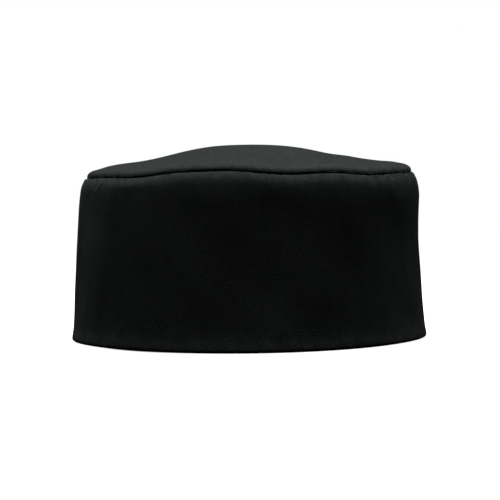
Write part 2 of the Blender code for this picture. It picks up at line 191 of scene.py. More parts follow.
LEAN = 1.9 * MM  # how far the top of the hat sits towards +X
SEAM_DROP = -1.6 * MM  # mean height of the crown seam against the evenly turned hat's
SEAM_HEIGHTS = (  # where the crown seam rises and sinks
    (-43, 8, -0.9 * MM),
    (-47, 5, 0.3 * MM),
    (-24, 7, 1.0 * MM),
    (-8, 8, 1.4 * MM),
    (14, 8, -1.0 * MM),
    (28, 9, 0.35 * MM),
    (43, 9, -1.4 * MM),
    (92, 14, 1.6 * MM),
    (133, 12, -0.8 * MM),
    (171, 10, 0.6 * MM),
    (-146, 13, -0.7 * MM),
    (-98, 15, 0.7 * MM),
)
DOME_HEIGHTS = (  # (x, width, height) across the crown, where it stands higher or lower
    (-72 * MM, 8 * MM, 1.4 * MM),
    (-46 * MM, 12 * MM, -0.7 * MM),
    (-25 * MM, 12 * MM, 0.5 * MM),
    (43 * MM, 9 * MM, -1.2 * MM),
    (51 * MM, 4 * MM, 0.35 * MM),
    (59 * MM, 9 * MM, -0.5 * MM),
    (78 * MM, 6 * MM, 0.7 * MM),
)
HEM_LIFTS = (  # where the hem stands a little off the table
    (-76, 36, 1.8 * MM),
    (78, 28, 1.0 * MM),
)
SHOULDER_SINK = 0.25 * MM  # how much further in the wall is just under its shoulder
CORNER_SINKS = (  # where the shoulder and the crown's edge sit further in still
    (92, 22, 0.85 * MM),
    (-92, 18, -0.1 * MM),
)
LIP_SWELLS = (  # where the crown's edge comes down further over the seam, or less far
    (-90, 16, 0.15 * MM),
    (-52, 10, 0.15 * MM),
    (-2, 6, 0.1 * MM),
    (13, 7, -0.35 * MM),
    (28, 6, 0.22 * MM),
    (48, 10, 0.15 * MM),
    (90, 16, 0.35 * MM),
)
SHOULDER_FILLS = (  # where the band's roll stands up against the crown's edge
    (-90, 18, 0.2 * MM),
    (90, 18, 0.1 * MM),
)
CREASES = (  # short folds in the band: degrees, height, slope, length, width, size
    (-61.5, 85.0 * MM, 0.8, 3.0 * MM, 1.2 * MM, -0.42 * MM),
    (-58.5, 85.4 * MM, 0.8, 3.4 * MM, 1.6 * MM, 0.32 * MM),
    (-68.0, 81.0 * MM, -2.5, 6.0 * MM, 1.6 * MM, -0.3 * MM),
    (-49.0, 82.0 * MM, -3.0, 5.0 * MM, 2.2 * MM, 0.25 * MM),
    (-43.0, 84.6 * MM, 0.0, 12.0 * MM, 2.4 * MM, 0.28 * MM),
    (52.0, 81.5 * MM, 4.0, 5.0 * MM, 2.4 * MM, 0.35 * MM),
    (57.5, 80.5 * MM, 4.0, 6.0 * MM, 1.6 * MM, -0.35 * MM),
    (64.0, 80.5 * MM, 6.0, 6.0 * MM, 2.2 * MM, 0.4 * MM),
    (71.5, 80.0 * MM, 9.0, 5.0 * MM, 1.8 * MM, -0.3 * MM),
)
NECK = (81 * MM, 4.5 * MM)  # height of that place, and how far it reaches up and down
RIM_TO_WALL = (60 * MM, 84 * MM)  # radii over which the crown's movement gives way to the wall's
GATHERS = (  # where the crown seam is gathered most
    (56, 11, 0.85),
    (-56, 9, 0.7),
    (-8, 9, 0.2),
    (118, 14, 0.5),
    (-120, 18, 0.55),
    (176, 10, 0.5),
)


def settle(points):
    """Moves points of the evenly turned hat to their places on the sewn one."""
    points = np.asarray(points, float)
    x, y, z = points[..., 0], points[..., 1], points[..., 2]
    r = np.maximum(np.hypot(x, y), 1e-9)
    angle = np.arctan2(x, -y)
    # The wall billows between its hem and its shoulder, and is drawn in under the shoulder.
    wall = smooth(r, *RIM_TO_WALL)
    mid = smooth(z, 4 * MM, 30 * MM) * (1.0 - 0.6 * smooth(z, 70 * MM, 88 * MM))
    out = wall * mid * (0.34 * wall_waves(angle, z) + 0.07 * fine_waves(angle, z)) * MM
    out = out - wall * SHOULDER_SINK * bell(z, *NECK)
    out = out - wall * bumps(angle, CORNER_SINKS) * smooth(z, 75 * MM, 86 * MM)
    # The crown seam and the dome rise and sink, and the hem stands off the table in places.
    high = smooth(z, 45 * MM, 86 * MM)
    rise = SEAM_DROP + bumps(angle, SEAM_HEIGHTS)
    lift = rise * smooth(z, 50 * MM, 88 * MM) * smooth(r, 35 * MM, 84 * MM)
    dome = smooth(z, 88 * MM, 92 * MM) * (1.0 - wall)
    lift = lift + dome * 0.3 * MM * crown_waves(angle) * smooth(r, 6 * MM, 50 * MM)
    uneven = sum(size * np.exp(-0.5 * ((x - at) / width) ** 2) for at, width, size in DOME_HEIGHTS)
    lift = lift + uneven * smooth(z, 76 * MM, 90 * MM) * (1.0 - smooth(r, 76 * MM, 83 * MM))
    lift = lift + bumps(angle, HEM_LIFTS) * (1.0 - smooth(z, 0.0, 45 * MM)) * wall
    return np.stack([x + x / r * out + LEAN * high, y + y / r * out, z + lift], axis=-1)


def wall_radius(z):
    """Radius of the evenly turned band's outer face at height z."""
    z = np.asarray(z, float)
    rise = np.clip((z - WALL_TOP) / (SHOULDER_END - WALL_TOP), 0.0, 1.0)
    shoulder = WALL_TOP_RADIUS - SHOULDER_WIDTH * rise ** SHOULDER_POWER
    flare = np.clip(1.0 - z / WALL_TOP, 0.0, 1.0) ** TAPER_POWER
    return np.where(z > WALL_TOP, shoulder, WALL_TOP_RADIUS + (HEM_RADIUS - WALL_TOP_RADIUS) * flare)


def dome_height(r):
    """Height of the crown's outer face at radius r, inside its rolled edge."""
    flat = np.clip(1.0 - (np.asarray(r) / DOME_RADIUS) ** 2, 0.0, 1.0) ** DOME_POWER
    return DOME_EDGE + (DOME_TOP - DOME_EDGE) * flat


def slit_half(z):
    """Half the width of the open slit at height z, and of the closed back seam above it."""
    z = np.asarray(z, float)
    straight = SLIT_HALF_FOOT + (SLIT_HALF_TOP - SLIT_HALF_FOOT) * z / SLIT_STRAIGHT
    over = np.clip((z - SLIT_STRAIGHT) / SLIT_HALF_TOP, 0.0, 1.0)
    round_top = SLIT_HALF_TOP * np.sqrt(1.0 - over * over)
    return np.maximum(np.where(z < SLIT_STRAIGHT, straight, round_top), BACK_SEAM_HALF)


def seam_pinch(angle, pitch=SEAM_STITCH, width=0.6 * MM, drift=0.25):
    """About 1 where the crown seam pulls the cloth in, every pitch round the hat, and 0 between."""
    count = round(2 * math.pi * SHOULDER_TOP_RADIUS / pitch)
    turns = count * angle / (2 * math.pi) + drift * stitch_drift(angle)
    off = (turns - np.round(turns)) * pitch
    return bell(off, 0.0, width) * np.clip(1.0 + 0.45 * crease_waves(angle), 0.1, 1.8)


def creases(angle, z):
    """Height of the band's short folds."""
    total = np.zeros_like(angle)
    for centre, middle, slope, length, width, size in CREASES:
        across = (angle - math.radians(centre)) * HEM_RADIUS
        size_along = math.hypot(1.0, slope)
        along = (across + slope * (z - middle)) / size_along
        aside = (slope * across - (z - middle)) / size_along
        total = total + size * bell(along, 0.0, length) * bell(aside, 0.0, width)
    return total


def gather_strength(angle):
    """How hard the crown seam is gathered, from about 0.2 to 1."""
    return np.clip(0.32 + bumps(angle, GATHERS) + 0.12 * strength_waves(angle), 0.12, 1.1)


# ---------------------------------------------------------------- mesh building


def arc(centre, radius, start, end, count, squeeze=1.0):
    """Points on an arc from start to end degrees; squeeze scales its height."""
    turns = np.radians(np.linspace(start, end, count))
    return [(centre[0] + radius * math.cos(a), centre[1] + radius * squeeze * math.sin(a)) for a in turns]


def path_normals(path):
    """Unit normals on the right side of a (radius, height) path."""
    along = np.gradient(path, axis=0)
    along /= np.maximum(np.linalg.norm(along, axis=1, keepdims=True), 1e-12)
    return np.stack([along[:, 1], -along[:, 0]], axis=1)


def path_lengths(path):
    """Distance of each point along the path."""
    steps = np.linalg.norm(np.diff(path, axis=0), axis=1)
    return np.concatenate([[0.0], np.cumsum(steps)])


def make_object(name, points, faces, uv, finish, wear=None):
    """A smooth-shaded mesh with its flat cloth coordinates, in metres, in the UV map "cloth"."""
    mesh = bpy.data.meshes.new(name)
    mesh.from_pydata(np.asarray(points, float).tolist(), [], faces)
    layer = mesh.uv_layers.new(name="cloth")
    corners = np.empty(len(mesh.loops), np.int32)
    mesh.loops.foreach_get("vertex_index", corners)
    layer.data.foreach_set("uv", np.asarray(uv, np.float32)[corners].ravel())
    if wear is not None:
        worn = mesh.attributes.new("wear", "FLOAT", "POINT")
        worn.data.foreach_set("value", np.asarray(wear, np.float32))
    mesh.shade_smooth()
    mesh.set_sharp_from_angle(angle=math.radians(65))
    mesh.materials.append(finish)
    obj = bpy.data.objects.new(name, mesh)
    bpy.context.scene.collection.objects.link(obj)
    return obj


def join_rows(a, b, closed):
    """Faces between two rows of vertex numbers, where one may be finer than the other."""
    if len(a) == len(b):
        pairs = list(zip(a, b))
        if closed:
            pairs.append(pairs[0])
        return [(p[0], q[0], q[1], p[1]) for p, q in zip(pairs, pairs[1:])]
    if len(a) > len(b):
        return [face[::-1] for face in join_rows(b, a, closed)]
    if closed:
        b = list(b) + [b[0]]
        a = list(a) + [a[0]] if len(a) > 1 else a
    if len(a) == 1:
        return [(a[0], q, p) for p, q in zip(b, b[1:])]
    ratio = (len(b) - 1) // (len(a) - 1)
    half = ratio // 2
    faces = []
    for j in range(len(a) - 1):
        fine = b[j * ratio:(j + 1) * ratio + 1]
        faces += [(a[j], q, p) for p, q in zip(fine[:half], fine[1:half + 1])]
        faces.append((a[j], a[j + 1], fine[half]))
        faces += [(a[j + 1], q, p) for p, q in zip(fine[half:], fine[half + 1:])]
    return faces


def strip_steps(refine):
    """Shares of the way along an open strip, closer together near its two ends.

    refine is how many steps take the place of each one.
    """
    near = np.array([0.0, 0.25, 0.6, 1.1, 1.9]) * MM / (2 * math.pi * HEM_RADIUS)
    middle = np.linspace(3.4 * MM / (2 * math.pi * HEM_RADIUS), 0.5, COLUMNS // 2 - 4)
    half = np.concatenate([near, middle])
    steps = np.concatenate([half, 1.0 - half[-2::-1]])
    if refine == 1:
        return steps
    marks = np.arange(len(steps))
    return np.interp(np.linspace(0, len(steps) - 1, (len(steps) - 1) * refine + 1), marks, steps)


def end_caps(rows):
    """Faces that close the two ends of an open strip, whose rows run up one side and down the other."""
    faces = []
    for k in (0, -1):
        rim = [row[k] for row in rows]
        for i in range(len(rows) // 2 - 1):
            quad = (rim[i], rim[i + 1], rim[-2 - i], rim[-1 - i])
            faces.append(quad[::-1] if k else quad)
    return faces


def turned_panel(name, path, thickness, finish, half_gap=None, relief=None, fine=None, wear=None):
    """Closed cloth panel whose right side follows a (radius, height) path round the hat.

    With half_gap(z) it is an open strip whose ends lie that far either side of the centre back;
    without it, it is a disc whose path ends on the axis. relief(angle, i, end) raises path point
    i along its normal; fine marks the points whose rows have finer steps.
    """
    path = np.asarray(path, float)
    normals = path_normals(path)
    lengths = path_lengths(path)
    fine = np.zeros(len(path), bool) if fine is None else fine
    disc = half_gap is None
    rows, points, uv, worn, start = [], [], [], [], 0
    there = range(len(path))
    for side, order in ((0, there), (1, reversed(there))):
        for i in order:
            r, z = path[i] - normals[i] * thickness * side
            refine = REFINE if fine[i] and side == 0 else 1
            if disc and path[i][0] < 1e-6:
                angle = np.zeros(1)
                r = 0.0
            elif disc:
                angle = np.linspace(-math.pi, math.pi, COLUMNS * refine, endpoint=False)
            else:
                edge = float(half_gap(path[i][1])) / max(path[i][0], 1e-9)
                angle = -math.pi + edge + strip_steps(refine) * (2 * math.pi - 2 * edge)
            raised = np.zeros_like(angle)
            if relief is not None:
                ends = np.minimum(angle + math.pi, math.pi - angle) * path[i][0]
                raised = relief(angle, i, ends)
            rr, zz = r + normals[i][0] * raised, z + normals[i][1] * raised
            row = np.stack([rr * np.sin(angle), -rr * np.cos(angle), zz + 0 * angle], axis=1)
            if disc:
                out = abs(lengths[-1] - lengths[i])
                flat = np.stack([out * np.sin(angle), -out * np.cos(angle)], axis=1)
            else:
                flat = np.stack([angle * HEM_RADIUS, np.full_like(angle, lengths[i])], axis=1)
            points.append(row)
            uv.append(flat)
            worn.append(np.full(len(angle), 0.0 if wear is None else wear[i]))
            rows.append(list(range(start, start + len(angle))))
            start += len(angle)
    faces = []
    for a, b in zip(rows, rows[1:] + rows[:1]):
        if len(a) > 1 or len(b) > 1:
            faces += join_rows(a, b, disc)
    if not disc:
        faces += end_caps(rows)
    points = settle(np.concatenate(points))
    return make_object(name, points, faces, np.concatenate(uv), finish, np.concatenate(worn))


def round_back(s, z, proud):
    """Points at s round the band, at height z and proud of its outer face, on the sewn hat."""
    s, z, proud = np.broadcast_arrays(np.asarray(s, float), z, proud)
    turn = s / HEM_RADIUS
    r = wall_radius(z) + proud
    return settle(np.stack([-r * np.sin(turn), r * np.cos(turn), z], axis=-1))


def patch(name, s, z, under, over, finish, wear=None):
    """Closed patch on the band: grids of s and z, and how proud its two faces are there."""
    n, m = s.shape
    points = np.concatenate([round_back(s, z, over).reshape(-1, 3), round_back(s, z, under).reshape(-1, 3)])
    flat = np.stack([s, z], axis=-1).reshape(-1, 2)
    top = np.arange(n * m).reshape(n, m)
    low = top + n * m
    faces = []
    for grid, flip in ((top, False), (low, True)):
        quads = np.stack([grid[:-1, :-1], grid[1:, :-1], grid[1:, 1:], grid[:-1, 1:]], axis=-1)
        faces += (quads[..., ::-1] if flip else quads).reshape(-1, 4).tolist()
    rim_top = np.concatenate([top[:, 0], top[-1, 1:], top[-2::-1, -1], top[0, -2:0:-1]])
    rim_low = rim_top + n * m
    after_top, after_low = np.roll(rim_top, -1), np.roll(rim_low, -1)
    faces += np.stack([rim_top, rim_low, after_low, after_top], axis=-1).tolist()
    worn = None if wear is None else np.concatenate([wear.ravel(), wear.ravel()])
    return make_object(name, points, faces, np.concatenate([flat, flat]), finish, worn)


def tubes(name, lines, ups, radius, sides, finish):
    """Closed tubes along lines, shaped (tube, point, 3), with ups pointing away from the cloth."""
    n, k, _ = lines.shape
    along = np.gradient(lines, axis=1)
    along /= np.maximum(np.linalg.norm(along, axis=2, keepdims=True), 1e-12)
    side = np.cross(along, ups)
    side /= np.maximum(np.linalg.norm(side, axis=2, keepdims=True), 1e-12)
    lift = np.cross(side, along)
    turns = np.linspace(0, 2 * math.pi, sides, endpoint=False)
    size = np.broadcast_to(radius, (n, k))[:, :, None, None]
    ring = np.cos(turns)[:, None] * side[:, :, None] + np.sin(turns)[:, None] * lift[:, :, None]
    points = lines[:, :, None] + size * ring
    steps = np.linalg.norm(np.diff(lines, axis=1), axis=2)
    length = np.concatenate([np.zeros((n, 1)), np.cumsum(steps, axis=1)], axis=1)
    round_it = turns / (2 * math.pi)
    uv = np.stack(np.broadcast_arrays(length[:, :, None], round_it * MM), axis=-1)
    index = np.arange(n * k * sides).reshape(n, k, sides)
    after = np.roll(index, -1, axis=2)
    quads = np.stack([index[:, 1:], after[:, 1:], after[:, :-1], index[:, :-1]], axis=-1)
    faces = quads.reshape(-1, 4).tolist()
    faces += index[:, 0].tolist() + index[:, -1, ::-1].tolist()
    return make_object(name, points.reshape(-1, 3), faces, uv.reshape(-1, 2), finish)


def resample(route, pitch):
    """Stitch ends (start, end) along a polyline of two-dimensional points."""
    route = np.asarray(route, float)
    lengths = path_lengths(route)
    count = max(int(round(lengths[-1] / pitch)), 1)
    marks = np.linspace(0, lengths[-1], count + 1)
    spots = np.stack([np.interp(marks, lengths, route[:, c]) for c in (0, 1)], axis=1)
    return spots[:-1], spots[1:]


def stitching(name, routes, surface, finish, seed, pitch=STITCH_PITCH, radius=THREAD_RADIUS, cover=0.84):
    """Rows of single stitches that lie along routes on surface(u, v, proud)."""
    rng = np.random.default_rng(seed)
    pairs = [resample(route, pitch) for route in routes]
    begin = np.concatenate([p[0] for p in pairs])
    end = np.concatenate([p[1] for p in pairs])
    along = end - begin
    across = np.stack([-along[:, 1], along[:, 0]], axis=1)
    skew = rng.normal(0.0, 0.035, len(begin))[:, None]
    rest = (1.0 - cover) / 2
    t = np.linspace(0.0, 1.0, 8)
    share = rest + cover * t
    spots = begin[:, None] + along[:, None] * share[None, :, None]
    spots = spots + (across * skew)[:, None] * (t - 0.5)[None, :, None]
    bulge = np.sin(math.pi * t) ** 0.45
    proud = radius * (-1.3 + 2.1 * bulge)
    lines = surface(spots[..., 0], spots[..., 1], proud[None, :])
    ups = surface(spots[..., 0], spots[..., 1], proud[None, :] + MM) - lines
    thick = radius * (0.62 + 0.38 * bulge) * rng.uniform(0.93, 1.07, (len(begin), 1))
    return tubes(name, lines, ups, thick, 8, finish)


def level_row(start, end, height):
    """Route of a row of stitches that runs round the hat at one height."""
    round_it = np.linspace(start, end, 400)
    return np.stack([round_it, np.full_like(round_it, height)], axis=1)


def wall_inside(s, z, proud):
    """Points on the inner side of the wall: proud counts inwards from the sweatband's inner face."""
    return round_back(s, z, -WALL_DEPTH - proud)


def dress(piece, slot, *nodes, body="hat"):
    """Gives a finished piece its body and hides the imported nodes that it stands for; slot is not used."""
    if body is not None:
        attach(piece, body)
    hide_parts(*nodes)
    return piece


# ---------------------------------------------------------------- materials


class Value:
    """A node's output, to be added, subtracted, multiplied and divided like a number."""

    def __init__(self, graph, socket):
        self.graph = graph
        self.socket = socket

    def __add__(self, other):
        return self.graph.math("ADD", self, other)

    def __sub__(self, other):
        return self.graph.math("SUBTRACT", self, other)

    def __rsub__(self, other):
        return self.graph.math("SUBTRACT", other, self)

    def __mul__(self, other):
        return self.graph.math("MULTIPLY", self, other)

    def __truediv__(self, other):
        return self.graph.math("DIVIDE", self, other)


class Graph:
    """A material's node tree, with short calls for its nodes."""

    def __init__(self, name, roughness, sheen=0.0, sheen_roughness=0.5, specular=0.5):
        self.material = bpy.data.materials.new(name)
        self.material.use_nodes = True
        self.tree = self.material.node_tree
        self.shader = self.tree.nodes["Principled BSDF"]
        inputs = self.shader.inputs
        inputs["Roughness"].default_value = roughness
        inputs["Specular IOR Level"].default_value = specular
        inputs["Sheen Weight"].default_value = sheen
        inputs["Sheen Roughness"].default_value = sheen_roughness
        inputs["Sheen Tint"].default_value = (0.93, 1.0, 0.98, 1.0)

    def add(self, kind, **settings):
        node = self.tree.nodes.new(kind)
        for key, value in settings.items():
            setattr(node, key, value)
        return node

    def put(self, socket, value):
        if isinstance(value, Value):
            self.tree.links.new(value.socket, socket)
        else:
            socket.default_value = value

    def out(self, node, output=0):
        return Value(self, node.outputs[output])

    def call(self, kind, operation, values, output=0):
        node = self.add(kind, operation=operation)
        for socket, value in zip(node.inputs, values):
            self.put(socket, value)
        return self.out(node, output)

    def math(self, operation, *values):
        return self.call("ShaderNodeMath", operation, values)

    def vector(self, operation, *values):
        output = "Value" if operation == "LENGTH" else "Vector"
        return self.call("ShaderNodeVectorMath", operation, values, output)

    def split(self, vector):
        """The x, y and z of a vector."""
        node = self.add("ShaderNodeSeparateXYZ")
        self.put(node.inputs[0], vector)
        return [self.out(node, k) for k in range(3)]

    def cloth(self):
        """The flat cloth coordinates, in metres."""
        return self.out(self.add("ShaderNodeUVMap", uv_map="cloth"))

    def place(self):
        """The point in the hat's own frame, in metres."""
        return self.out(self.add("ShaderNodeTexCoord"), "Object")

    def noise(self, vector, size, detail=2.0, roughness=0.5):
        node = self.add("ShaderNodeTexNoise")
        self.put(node.inputs["Vector"], vector)
        node.inputs["Scale"].default_value = 1.0 / size
        node.inputs["Detail"].default_value = detail
        node.inputs["Roughness"].default_value = roughness
        return self.out(node)

    def cells(self, vector, size):
        """Distance to the nearest of some random points, in cells, and each point's random colour."""
        node = self.add("ShaderNodeTexVoronoi")
        self.put(node.inputs["Vector"], vector)
        node.inputs["Scale"].default_value = 1.0 / size
        return self.out(node, "Distance"), self.out(node, "Color")

    def specks(self, vector, size, radius):
        """1 in rare small round spots, one in a few cells of the given size."""
        distance, colour = self.cells(vector, size)
        node = self.add("ShaderNodeSeparateColor")
        self.put(node.inputs[0], colour)
        chosen = self.math("GREATER_THAN", self.out(node), 0.7)
        return self.math("LESS_THAN", distance, radius / size) * chosen

    def wave(self, value, pitch, shift=0.0):
        """A wave from 0 to 1 with the given pitch; shift is in turns."""
        return self.math("SINE", (value / pitch + shift) * (2 * math.pi)) * 0.5 + 0.5

    def ramp(self, value, low, high):
        """value's range from low to high, as 0 to 1."""
        node = self.add("ShaderNodeMapRange")
        self.put(node.inputs["Value"], value)
        node.inputs["From Min"].default_value = low
        node.inputs["From Max"].default_value = high
        return self.out(node)

    def mix(self, factor, a, b):
        node = self.add("ShaderNodeMix", data_type="RGBA")
        self.put(node.inputs["Factor"], factor)
        self.put(node.inputs["A"], a)
        self.put(node.inputs["B"], b)
        return self.out(node, "Result")

    def wear(self):
        return self.out(self.add("ShaderNodeAttribute", attribute_name="wear"), "Fac")

    def finish(self, colour, roughness=None, height=None, depth=0.1 * MM, strength=1.0):
        self.put(self.shader.inputs["Base Color"], colour)
        if roughness is not None:
            self.put(self.shader.inputs["Roughness"], roughness)
        if height is not None:
            bump = self.add("ShaderNodeBump")
            bump.inputs["Strength"].default_value = strength
            bump.inputs["Distance"].default_value = depth
            self.put(bump.inputs["Height"], height)
            self.put(self.shader.inputs["Normal"], self.out(bump))
        return self.material


def grey(level, tint=(1.0, 1.0, 1.0)):
    return (level * tint[0], level * tint[1], level * tint[2], 1.0)


COOL = (0.97, 1.01, 1.0)
RIB_LEAN = math.radians(60)  # of the twill's ribs
RIB_PITCH = 0.98 * MM
YARN_PITCH = 0.62 * MM


def twill_material():
    """Black polyester and cotton twill: steep ribs with painted shade in their grooves, faint cloudiness, a
    little lint, paler worn folds that also carry a painted highlight, and dusty cool mottling on the crown
    that also paints its sheen.
    """
    g = Graph("black_twill_cloth", 0.8, sheen=0.042, sheen_roughness=0.4, specular=0.2)
    uv = g.cloth()
    x, y, _ = g.split(uv)
    bend = (g.noise(uv, 7 * MM) - 0.5) * (0.25 * MM)
    across = x * math.sin(RIB_LEAN) + y * math.cos(RIB_LEAN) + bend
    along = x * math.cos(RIB_LEAN) + y * -math.sin(RIB_LEAN)
    rib = g.wave(across, RIB_PITCH)
    yarn = g.wave(along, YARN_PITCH, g.math("FLOOR", across / RIB_PITCH) * 0.37)
    fuzz = g.noise(uv, 0.22 * MM, 2.0, 0.6)
    height = rib * (yarn * 0.3 + 0.7) + fuzz * 0.35
    cloud = g.ramp(g.noise(g.place(), 34 * MM, 3.0, 0.55), 0.3, 0.7)
    mottle = g.noise(uv, 2.6 * MM, 3.0, 0.6)
    grain = g.ramp(g.noise(uv, 1.3 * MM, 3.0, 0.7), 0.3, 0.7)
    soft = g.ramp(g.noise(uv, 6 * MM, 3.0, 0.55), 0.35, 0.65)
    # Rib tops lighter and the grooves between them darker: partly the yarn's own tone, partly painted shade
    # in the grooves.
    tone = cloud * 0.22 + soft * 0.13 + (grain * 0.35 + rib * 0.35)
    colour = g.mix(tone, grey(0.0025), grey(0.03))
    # Paler rib tops where the wear attribute is high: worn cloth, and also a painted highlight under the
    # crown seam and painted light along the hem.
    rub_and_highlight = g.wear() * g.ramp(g.noise(uv, 6 * MM, 4.0, 0.7), 0.32, 0.68)
    colour = g.mix(rub_and_highlight * (rib * rib * 0.95), colour, grey(0.085, COOL))
    # Paler, cool-tinted mottling on the top of the hat: dusty cloth, and painted sheen in streaks over the
    # crown.
    top_of_hat = g.ramp(g.split(g.place())[2], 86 * MM, 91 * MM)
    dust_and_sheen = g.ramp(g.noise(uv, 3.5 * MM, 4.0, 0.75), 0.48, 0.66) + g.ramp(g.noise(uv, 1.5 * MM), 0.5, 0.6)
    colour = g.mix(dust_and_sheen * top_of_hat * 0.26, colour, grey(0.064, COOL))
    lint = g.specks(uv, 9 * MM, 0.13 * MM) * 0.08 + g.specks(uv, 5 * MM, 0.3 * MM) * top_of_hat
    colour = g.mix(lint * 0.6, colour, grey(0.2))
    return g.finish(colour, mottle * 0.12 + 0.72, height + grain * 0.4, 0.25 * MM, 0.9)


def plain_weave(g, uv, pitch):
    """Height of a plain weave: yarns over and under each other."""
    x, y, _ = g.split(uv)
    over = g.wave(x + y, pitch * 2)
    return g.wave(x, pitch) * over + g.wave(y, pitch) * (1.0 - over)


def poplin_material():
    """Black poplin of the linings: a fine plain weave with soft creases."""
    g = Graph("black_poplin_cloth", 0.75, sheen=0.2, sheen_roughness=0.5, specular=0.35)
    uv = g.cloth()
    weave = plain_weave(g, uv, 0.42 * MM)
    cloud = g.noise(g.place(), 25 * MM, 3.0, 0.6)
    slub = g.noise(uv, 1.4 * MM, 3.0, 0.65)
    tone = g.ramp(cloud * 0.6 + slub * 0.4, 0.3, 0.7)
    colour = g.mix(tone, grey(0.012), grey(0.024, (0.97, 0.98, 1.06)))
    return g.finish(colour, slub * 0.2 + 0.62, weave * 0.6 + slub * 0.6, 0.09 * MM, 0.7)


def nonwoven_material():
    """Grey bonded stiffener: short fibres pressed into a sheet."""
    g = Graph("grey_nonwoven_sheet", 0.9, sheen=0.1, specular=0.3)
    uv = g.cloth()
    fibres = g.noise(g.vector("MULTIPLY", uv, (1.0, 0.3, 1.0)), 0.5 * MM, 4.0, 0.7)
    clumps = g.noise(uv, 5 * MM)
    colour = g.mix(g.ramp(fibres, 0.3, 0.7), grey(0.1), grey(0.19))
    return g.finish(colour, fibres * 0.1 + 0.82, fibres + clumps * 0.5, 0.12 * MM)


def terry_material():
    """Black towelling of the sweatband: packed loops of soft cotton."""
    g = Graph("black_terry_cloth", 0.95, sheen=0.4, sheen_roughness=0.6, specular=0.2)
    uv = g.cloth()
    hump = 1.0 - g.cells(uv, 0.75 * MM)[0]
    fuzz = g.noise(uv, 0.25 * MM, 3.0, 0.7)
    tone = hump * 0.6 + g.noise(g.place(), 20 * MM) * 0.4
    colour = g.mix(g.ramp(tone, 0.3, 0.9), grey(0.006), grey(0.026))
    return g.finish(colour, fuzz * 0.06 + 0.9, hump + fuzz * 0.5, 0.35 * MM)


def thread_material():
    """Black spun thread: plies twisted round each other."""
    g = Graph("black_sewing_thread", 0.5, sheen=0.3, sheen_roughness=0.4, specular=0.45)
    uv = g.cloth()
    x, y, _ = g.split(uv)
    twist = g.wave(x + y * 0.45, 0.45 * MM)
    fuzz = g.noise(uv, 0.2 * MM)
    colour = g.mix(twist, grey(0.007), grey(0.03))
    return g.finish(colour, fuzz * 0.2 + 0.42, twist + fuzz * 0.3, 0.08 * MM)


def hook_material():
    """Black nylon of the hook tape: a woven ground with stiff, slightly glossy hooks."""
    g = Graph("black_nylon_hooks", 0.35, specular=0.5)
    uv = g.cloth()
    grain = g.noise(uv, 0.8 * MM, 3.0)
    colour = g.mix(grain, grey(0.008), grey(0.022))
    return g.finish(colour, grain * 0.25 + 0.25, plain_weave(g, uv, 0.5 * MM), 0.08 * MM)


def loop_material():
    """Black brushed nylon of the loop tape."""
    g = Graph("black_nylon_loops", 0.8, sheen=0.45, sheen_roughness=0.35, specular=0.3)
    uv = g.cloth()
    fibres = g.noise(uv, 0.3 * MM, 4.0, 0.7)
    tone = fibres * 0.6 + g.noise(uv, 4 * MM) * 0.4
    colour = g.mix(g.ramp(tone, 0.3, 0.7), grey(0.008), grey(0.03))
    return g.finish(colour, fibres * 0.15 + 0.75, fibres, 0.2 * MM)


def satin_material():
    """White woven satin of the blank label: long floats along its length."""
    g = Graph("white_satin_label", 0.4, sheen=0.15, specular=0.5)
    uv = g.cloth()
    x, y, _ = g.split(uv)
    pitch = 0.3 * MM
    floats = g.wave(x, 1.3 * MM, g.math("FLOOR", y / pitch) * 0.31)
    shade = g.noise(uv, 3 * MM, 3.0)
    tone = g.ramp(shade * 0.6 + floats * 0.4, 0.25, 0.75)
    colour = g.mix(tone, grey(0.62, (1, 0.99, 0.95)), grey(0.78, (1, 0.995, 0.97)))
    return g.finish(colour, shade * 0.2 + 0.3, g.wave(y, pitch) + floats * 0.4, 0.05 * MM)


TWILL_CLOTH = twill_material()
POPLIN_CLOTH = poplin_material()
NONWOVEN = nonwoven_material()
TERRY_CLOTH = terry_material()
THREAD = thread_material()
HOOK_NYLON = hook_material()
LOOP_NYLON = loop_material()
SATIN = satin_material()


# ---------------------------------------------------------------- side band


WALL_ROWS = (  # heights of the band's mesh rows in mm, closest at the hem and at the slit's top
    1.1, 1.8, 2.7, 3.8, 5.0, 6.2, 7.6, 9.5, 12, 15, 18.5, 22, 26, 30, 34, 38, 42, 46, 50, 52.5,
    54, 55, 55.8, 57, 59, 62, 65, 68, 70.5,
)


def wall_layer(start, end, depth, count):
    """(radius, height) points of a wall layer, from start to end, at a depth behind the outer face."""
    return [(float(wall_radius(z)) - depth, z) for z in np.linspace(start, end, count)]


def band_path():
    """Right side of the band: up the hem's inside, round the fold, up to the seam and down inside."""
    inner_face = TURN_UP_DEPTH + TWILL
    outside = float(wall_radius(HEM_ROLL))
    inside = outside - inner_face
    path = wall_layer(HEM_TURN_UP, 3 * MM, inner_face, 4)
    path += arc((inside + HEM_ROLL, HEM_ROLL), HEM_ROLL, 180, 270, 5)
    path += arc((outside - HEM_ROLL, HEM_ROLL), HEM_ROLL, 270, 350, 5)
    path += [(float(wall_radius(z * MM)), z * MM) for z in WALL_ROWS]
    path += wall_layer(72 * MM, WALL_TOP, 0.0, 3)
    path += wall_layer(WALL_TOP, SHOULDER_END, 0.0, 19)[1:-1]
    lean = math.degrees(SHOULDER_LEAN)
    path += arc((SHOULDER_TOP_RADIUS, SHOULDER_TOP - SEAM_ROLL), SEAM_ROLL, lean, 180, 9)
    inner = SHOULDER_TOP_RADIUS - SEAM_ROLL
    path += [(inner, z) for z in np.linspace(SHOULDER_TOP - 2.5 * MM, SEAM_ALLOWANCE_END, 4)]
    return np.array(path)


